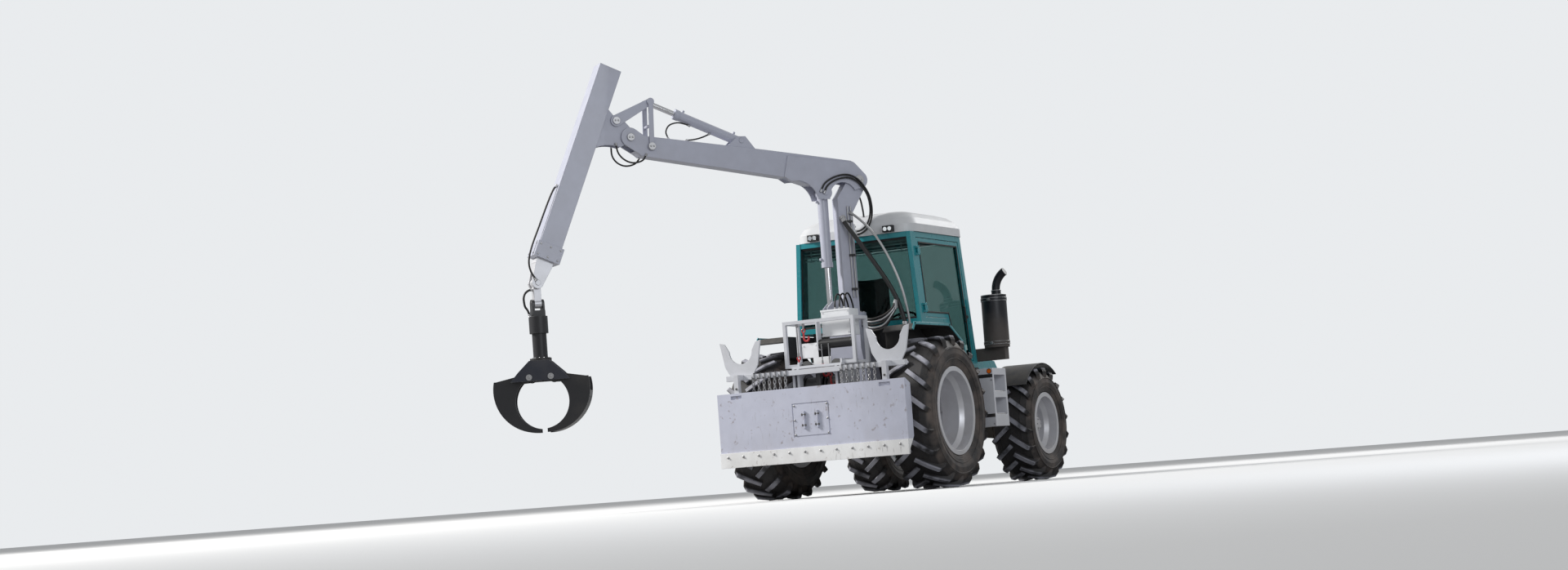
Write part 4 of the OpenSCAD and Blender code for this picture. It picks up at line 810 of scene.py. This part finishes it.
# Hood
# Sheet steel in one shell. Pressed seams stiffen it, rubber latches hold it down, and two lamps sit
# beside the grille.
HOOD_X, LATCH_Y, NOSE_X, NOSE_Z = 0.3715, 3.035, 0.31, 1.33
hood_trim, latches = bmesh.new(), bmesh.new()
nose_bowls, nose_lenses, nose_rims = bmesh.new(), bmesh.new(), bmesh.new()
for side, _ in SIDES:
    for z, front, width in ((1.12, 3.38, 0.016), (1.46, 3.33, 0.012)):
        strip_into(hood_trim, ((side * HOOD_X, 1.93, z), (side * HOOD_X, front, z)), width, 0.004, (1, 0, 0))
    box_into(latches, (side * 0.372 - 0.006, 3.02, 1.13), (side * 0.372 + 0.006, 3.05, 1.21))
    for z, radius in ((1.22, 0.014), (1.125, 0.012)):
        rod_into(latches, (side * 0.370, LATCH_Y, z), (side * 0.384, LATCH_Y, z), radius, segments=16)
    lamp_x = side * NOSE_X
    rod_into(nose_bowls, (lamp_x, 3.429, NOSE_Z), (lamp_x, 3.434, NOSE_Z), 0.042, segments=32)
    rod_into(nose_lenses, (lamp_x, 3.4345, NOSE_Z), (lamp_x, 3.44, NOSE_Z), 0.04, segments=32)
    ring_into(nose_rims, (lamp_x, 3.433, NOSE_Z), (0, 1, 0), 0.044, 0.005, steps=40)
piece("hood_seams", hood_trim, TEAL, "hood", soften=0.0015)
piece("hood_latches", latches, PLASTIC, "hood", soften=0.001)
piece("nose_lamp_bowls", nose_bowls, BOWL, "hood")
piece("nose_lamp_lenses", nose_lenses, LENS, "hood")
piece("nose_lamp_rims", nose_rims, PLASTIC, "hood")

# Crane
# Welded box sections on plain pins. Every pin has a keeper plate with two bolts, and the stick ends
# in a cap that is screwed on round the sliding extension.
MAST_Y, CRANE_TURN, GRAPPLE_TURN = 0.05, math.radians(232), math.radians(-25)
CRANE = VEHICLE @ Matrix.Translation((0, MAST_Y, 0)) @ Matrix.Rotation(CRANE_TURN, 4, "Z")
STICK_TOP, STICK_FOOT = Vector((2.805, 0, 5.02)), Vector((3.72, 0, 2.855))
STICK_RUN = STICK_FOOT - STICK_TOP
STICK = CRANE @ Matrix.Translation(STICK_TOP) @ Matrix.Rotation(-math.atan2(STICK_RUN.z, STICK_RUN.x), 4, "Y")
for body, (u, z), half, radius in (
    ("column", (-0.2, 3.69), 0.113, 0.045),
    ("stick", (2.619, 4.224), 0.104, 0.035),
    ("stick", (2.774, 4.416), 0.096, 0.035),
    ("rocker", (2.375, 4.115), 0.118, 0.035),
):
    keeper = bmesh.new()
    for side, _ in SIDES:
        inner, outer = side * (half - 0.002), side * (half + 0.006)
        rod_into(keeper, (u, inner, z), (u, outer, z), radius * 1.25, CRANE, 40)
        for bolt_u in (u - radius / 2, u + radius / 2):
            bolt_into(keeper, (bolt_u, outer, z), (0, side, 0), 0.007, CRANE)
    piece(f"pin_keepers_{body}_{int(z * 1000)}", keeper, STEEL, body, soften=0.001)
CAP_ROWS = (2.20, 2.32)
cap_bolts = bmesh.new()
for side, _ in SIDES:
    bolt_grid_into(cap_bolts, CAP_ROWS, [side * 0.132], (-0.12, 0.0, 0.12), (0, side, 0), 0.009, STICK)
    bolt_grid_into(cap_bolts, CAP_ROWS, (-0.08, 0.08), [side * 0.155], (0, 0, side), 0.009, STICK)
piece("stick_cap_bolts", cap_bolts, STEEL, "stick")
foot_bolts = bmesh.new()
bolt_circle_into(foot_bolts, (0, 0, 2.12), (0, 0, 1), 0.165, 16, 0.011, CRANE)
piece("column_foot_bolts", foot_bolts, STEEL, "column")
pipes, clamps = bmesh.new(), bmesh.new()
for u in (-0.06, -0.02):
    rod_into(pipes, (u, 0.093, 2.30), (u, 0.093, 3.38), 0.009, CRANE, 12)
for v in (-0.03, 0.0, 0.03):
    rod_into(pipes, (-0.104, v, 2.30), (-0.104, v, 3.0), 0.009, CRANE, 12)
for z in (2.4, 2.8, 3.2):
    box_into(clamps, (-0.075, 0.079, z - 0.015), (-0.005, 0.106, z + 0.015), CRANE)
for z in (2.4, 2.8):
    box_into(clamps, (-0.118, -0.045, z - 0.015), (-0.089, 0.045, z + 0.015), CRANE)
piece("column_pipes", pipes, STEEL, "column")
piece("column_pipe_clamps", clamps, BLACK, "column", soften=0.002)
manifold = bmesh.new()
box_into(manifold, (-0.116, -0.06, 2.99), (-0.0895, 0.07, 3.17), CRANE)
for z in (3.02, 3.14):
    bolt_grid_into(manifold, [-0.116], (-0.045, 0.055), [z], (-1, 0, 0), 0.012, CRANE)
piece("column_manifold", manifold, WHITE, "column", soften=0.003)

# Crane hoses
# Rubber hoses with crimped steel ends cross each joint in a loop that is long enough for its whole
# range. A thick sleeve gathers those that run down from the column to the chassis.
HOSE = finish("hose_rubber", (0.013, 0.013, 0.014), slot="trim_plastic", gloss_roughness=0.4,
              edge_wear=0.0, dust_amount=0.25, mud_amount=0.1, grain=0.3)


def smooth_path(points, steps=5):
    """Points along one smooth curve through the given ones."""
    points = [Vector(p) for p in points]
    padded = [2 * points[0] - points[1], *points, 2 * points[-1] - points[-2]]
    made = []
    for a, b, c, d in zip(padded, padded[1:], padded[2:], padded[3:]):
        for i in range(steps):
            t = i / steps
            made.append(0.5 * (2 * b + (c - a) * t + (2 * a - 5 * b + 4 * c - d) * t * t
                               + (3 * b - a - 3 * c + d) * t ** 3))
    return made + [points[-1]]


def tube_into(bm, path, radius, sides=12):
    """Adds a round tube along a path, closed at both ends."""
    across = (path[1] - path[0]).orthogonal().normalized()
    rings = []
    for i, point in enumerate(path):
        run = (path[min(i + 1, len(path) - 1)] - path[max(i - 1, 0)]).normalized()
        across = (across - run * across.dot(run)).normalized()
        other = run.cross(across)
        rings.append([bm.verts.new(point + radius * (math.cos(math.tau * k / sides) * across
                                                     + math.sin(math.tau * k / sides) * other))
                      for k in range(sides)])
    for a, b in zip(rings, rings[1:]):
        for k in range(sides):
            bm.faces.new((a[k], a[(k + 1) % sides], b[(k + 1) % sides], b[k]))
    bm.faces.new(rings[0][::-1])
    bm.faces.new(rings[-1])


def hose(name, points, diameter, body, other=None, frame=CRANE, steps=5, cover=HOSE):
    """A hose through these points, riding on its body; with a second body the hose is left in place
    unparented, and each end rides on its own body.
    """
    path = [frame @ p for p in smooth_path(points, steps)]
    bm = bmesh.new()
    tube_into(bm, path, diameter / 2)
    bmesh.ops.recalc_face_normals(bm, faces=bm.faces[:])
    made = link_mesh(name, bm)
    made.data.materials.append(cover)
    for face in made.data.polygons:
        face.use_smooth = len(face.vertices) == 4
    if other:
        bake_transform(made)
    else:
        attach(made, body)
    for tip, inner, rides in ((path[0], path[1], body), (path[-1], path[-2], other or body)):
        run, ends = (inner - tip).normalized(), bmesh.new()
        rod_into(ends, tip - run * 0.006, tip + run * diameter * 1.2, diameter * 0.62, Matrix.Identity(4), 20)
        rod_into(ends, tip - run * 0.01, tip + run * diameter * 0.35, diameter * 0.78, Matrix.Identity(4), 6)
        piece(f"{name}_end_{'a' if tip is path[0] else 'b'}", ends, STEEL, rides)
    return made


GRAPPLE_HANG, GRAPPLE_Z = 3.82417, 2.37852
grapple_hose = hose("grapple_supply_hose", [(GRAPPLE_HANG + x, 0, GRAPPLE_Z + z) for x, z in (
    (0.0403, 0.16), (0.084, 0.154), (0.128, 0.124), (0.149, 0.078), (0.15, 0.028), (0.141, -0.026),
    (0.113, -0.072), (0.091, -0.1397))], 0.025, "hanger", "cross_link")
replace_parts(grapple_hose, "grapple_hose")
for name, side, grow in (("outer", 1, 1.0), ("middle", 1, 0.9), ("inner", -1, 1.0)):
    hose(f"head_hose_{name}", [(-0.1 + (u + 0.1) * grow, side * v, 3.4 + (z - 3.4) * grow) for u, v, z in (
        (-0.12, 0.04, 3.05), (-0.20, 0.05, 3.06), (-0.275, 0.075, 3.12), (-0.32, 0.105, 3.23),
        (-0.325, 0.126, 3.37), (-0.29, 0.129, 3.53), (-0.18, 0.129, 3.685), (-0.04, 0.129, 3.75),
        (0.12, 0.127, 3.73), (0.25, 0.12, 3.66), (0.315, 0.116, 3.56))], 0.022,
         "column", "boom")
for name, side in (("outer", 1), ("inner", -1)):
    hose(f"knee_hose_{name}", [(u, side * v, z) for u, v, z in (
        (2.45, 0.1, 4.02), (2.51, 0.122, 3.95), (2.62, 0.125, 3.925), (2.72, 0.122, 3.96),
        (2.785, 0.105, 4.04), (2.80, 0.082, 4.15))], 0.02, "boom", "stick")
hose("fold_hose_gland", [(2.141, 0.03, 4.215), (2.165, 0.03, 4.29), (2.12, 0.03, 4.365), (2.02, 0.03, 4.395),
                         (1.93, 0.03, 4.38), (1.87, 0.02, 4.36)], 0.018, "boom", "fold_barrel")
hose("fold_hose_foot", [(1.92, 0.03, 4.19), (1.82, 0.03, 4.20), (1.72, 0.03, 4.225), (1.63, 0.02, 4.262)],
     0.018, "boom", "fold_barrel")
hose("stick_hose", [(1.50, 0.05, 0.14), (1.57, 0.05, 0.165), (1.75, 0.05, 0.178), (2.0, 0.05, 0.184),
                    (2.25, 0.052, 0.19), (2.42, 0.062, 0.172), (2.53, 0.08, 0.115), (2.60, 0.096, 0.03)],
     0.022, "stick", "extension", STICK)
hose("column_sleeve", [(0.048, -0.064, 3.25), (0.084, -0.068, 3.178), (0.168, -0.054, 3.04),
                       (0.338, -0.008, 2.762), (0.516, 0.056, 2.442), (0.612, 0.098, 2.2),
                       (0.666, 0.118, 1.978), (0.672, 0.12, 1.901)],
     0.054, "column", "chassis", VEHICLE)
hose("column_hose", [(0.11, 0.034, 3.30), (0.19, 0.036, 3.24), (0.33, 0.04, 3.10), (0.47, 0.045, 2.90),
                     (0.60, 0.06, 2.62), (0.68, 0.085, 2.35), (0.715, 0.12, 2.08), (0.72, 0.14, 1.912)], 0.03,
     "column", "chassis", VEHICLE, cover=STEEL)
for i, drop in enumerate((0.0, 0.035, 0.07, 0.105, 0.14)):
    hose(f"base_hose_{'abcde'[i]}", [
        (0.185, -0.02, 2.05 - drop / 2), (0.25, -0.06, 2.03 - drop * 0.8), (0.36, -0.08, 2.02 - drop),
        (0.48, -0.05, 2.05 - drop), (0.57, 0.0, 2.12 - drop / 2), (0.60, 0.05, 2.21 - drop / 2)], 0.03,
         "chassis", frame=VEHICLE, cover=STEEL if i % 2 else HOSE)
for i, x in enumerate((0.12, 0.18, 0.24)):
    hose(f"valve_hose_{'abc'[i]}", [
        (x, -0.57, 2.14), (x, -0.562, 2.22), (x - 0.01, -0.50, 2.30), (x - 0.03, -0.39, 2.325),
        (x - 0.05, -0.28, 2.26), (x - 0.07, -0.20, 2.14), (0.02 + 0.04 * i, -0.15, 2.0)], 0.02,
         "chassis", frame=VEHICLE)

# Rotator and grapple
# A black hydraulic rotator over a painted bracket that carries the two jaws. Bolts hold the bracket
# up, and flat heads close the ends of the jaws' pins.


def rotator_paint():
    """Black above the bracket's top plate, blue-black below."""
    material, recipe, shader = new_material("rotator_paint", "black_paint")
    height = recipe.add("SeparateXYZ", {0: recipe.place()})["Z"]
    low = recipe.ramp(height, 1.7448, 1.7442)
    weather(recipe, shader, recipe.mix(low, (0.02, 0.02, 0.023, 1), (0.03, 0.034, 0.05, 1)), edge_wear=0.7)
    return material


dress(rotator_paint(), "rotator")
GRAPPLE = CRANE @ Matrix.Translation((GRAPPLE_HANG, 0, 0)) @ Matrix.Rotation(GRAPPLE_TURN, 4, "Z")
JAW_PIN_Z = 1.56
bracket_bolts = bmesh.new()
bolt_circle_into(bracket_bolts, (0, 0, 1.773), (0, 0, 1), 0.1, 12, 0.007, GRAPPLE)
for side, _ in SIDES:
    for x in (-0.12, 0.12):
        rod_into(bracket_bolts, (x, side * 0.194, JAW_PIN_Z), (x, side * 0.2, JAW_PIN_Z), 0.034, GRAPPLE, 32)
        bolt_into(bracket_bolts, (x, side * 0.2, JAW_PIN_Z), (0, side, 0), 0.009, GRAPPLE)
piece("grapple_bolts", bracket_bolts, STEEL, "rotator")

# Seat
# A sprung seat with two foam cushions in black cloth over a rubber bellows, which hides its spring.
CLOTH = finish("seat_cloth", (0.03, 0.03, 0.034), slot="trim_plastic", gloss_roughness=0.75, edge_wear=0.0,
               dust_amount=0.1, mud_amount=0.0, grain=0.8)


def cushion(name, centre, half, tilt, channels):
    """A crowned foam cushion: sides pulled in between its corners, with sewn channels across its face."""
    bm = bmesh.new()
    bmesh.ops.create_cube(bm, size=2)
    bmesh.ops.subdivide_edges(bm, edges=bm.edges[:], cuts=11, use_grid_fill=True)
    for v in bm.verts:
        x, y, z = v.co
        v.co.x *= 1 - 0.05 * (1 - y * y) - 0.1 * z * z
        v.co.y *= 1 - 0.05 * (1 - x * x) - 0.1 * z * z
        v.co.z *= 0.72 + 0.28 * (1 - x ** 4) * (1 - y ** 4)
        if any(abs(x - c) < 0.06 for c in channels) and abs(y) < 0.8:
            v.co.z *= 0.86
    bmesh.ops.transform(bm, verts=bm.verts[:], matrix=VEHICLE @ Matrix.Translation(centre)
                        @ Matrix.Rotation(math.radians(tilt), 4, "X") @ Matrix.Diagonal((*half, 1)))
    made = piece(name, bm, CLOTH, crease=180)
    rounded = made.modifiers.new("round", "SUBSURF")
    rounded.levels = rounded.render_levels = 1
    return made


cushion("seat_cushion", (0, 0.91, 1.836), (0.245, 0.235, 0.055), 0, (-0.5, 0.5))
cushion("seat_back_cushion", (0, 0.705, 2.2), (0.225, 0.36, 0.05), 95, (-0.5, 0.5))
bellows = bmesh.new()
for i in range(9):
    out, z = 0.0 if i % 2 else 0.012, 1.421 + i * 0.04
    box_into(bellows, (-0.165 - out, 0.715 - out, z), (0.165 + out, 1.045 + out, z + 0.04))
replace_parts(piece("seat_bellows", bellows, SEAL, soften=0.004), "cab_seat")
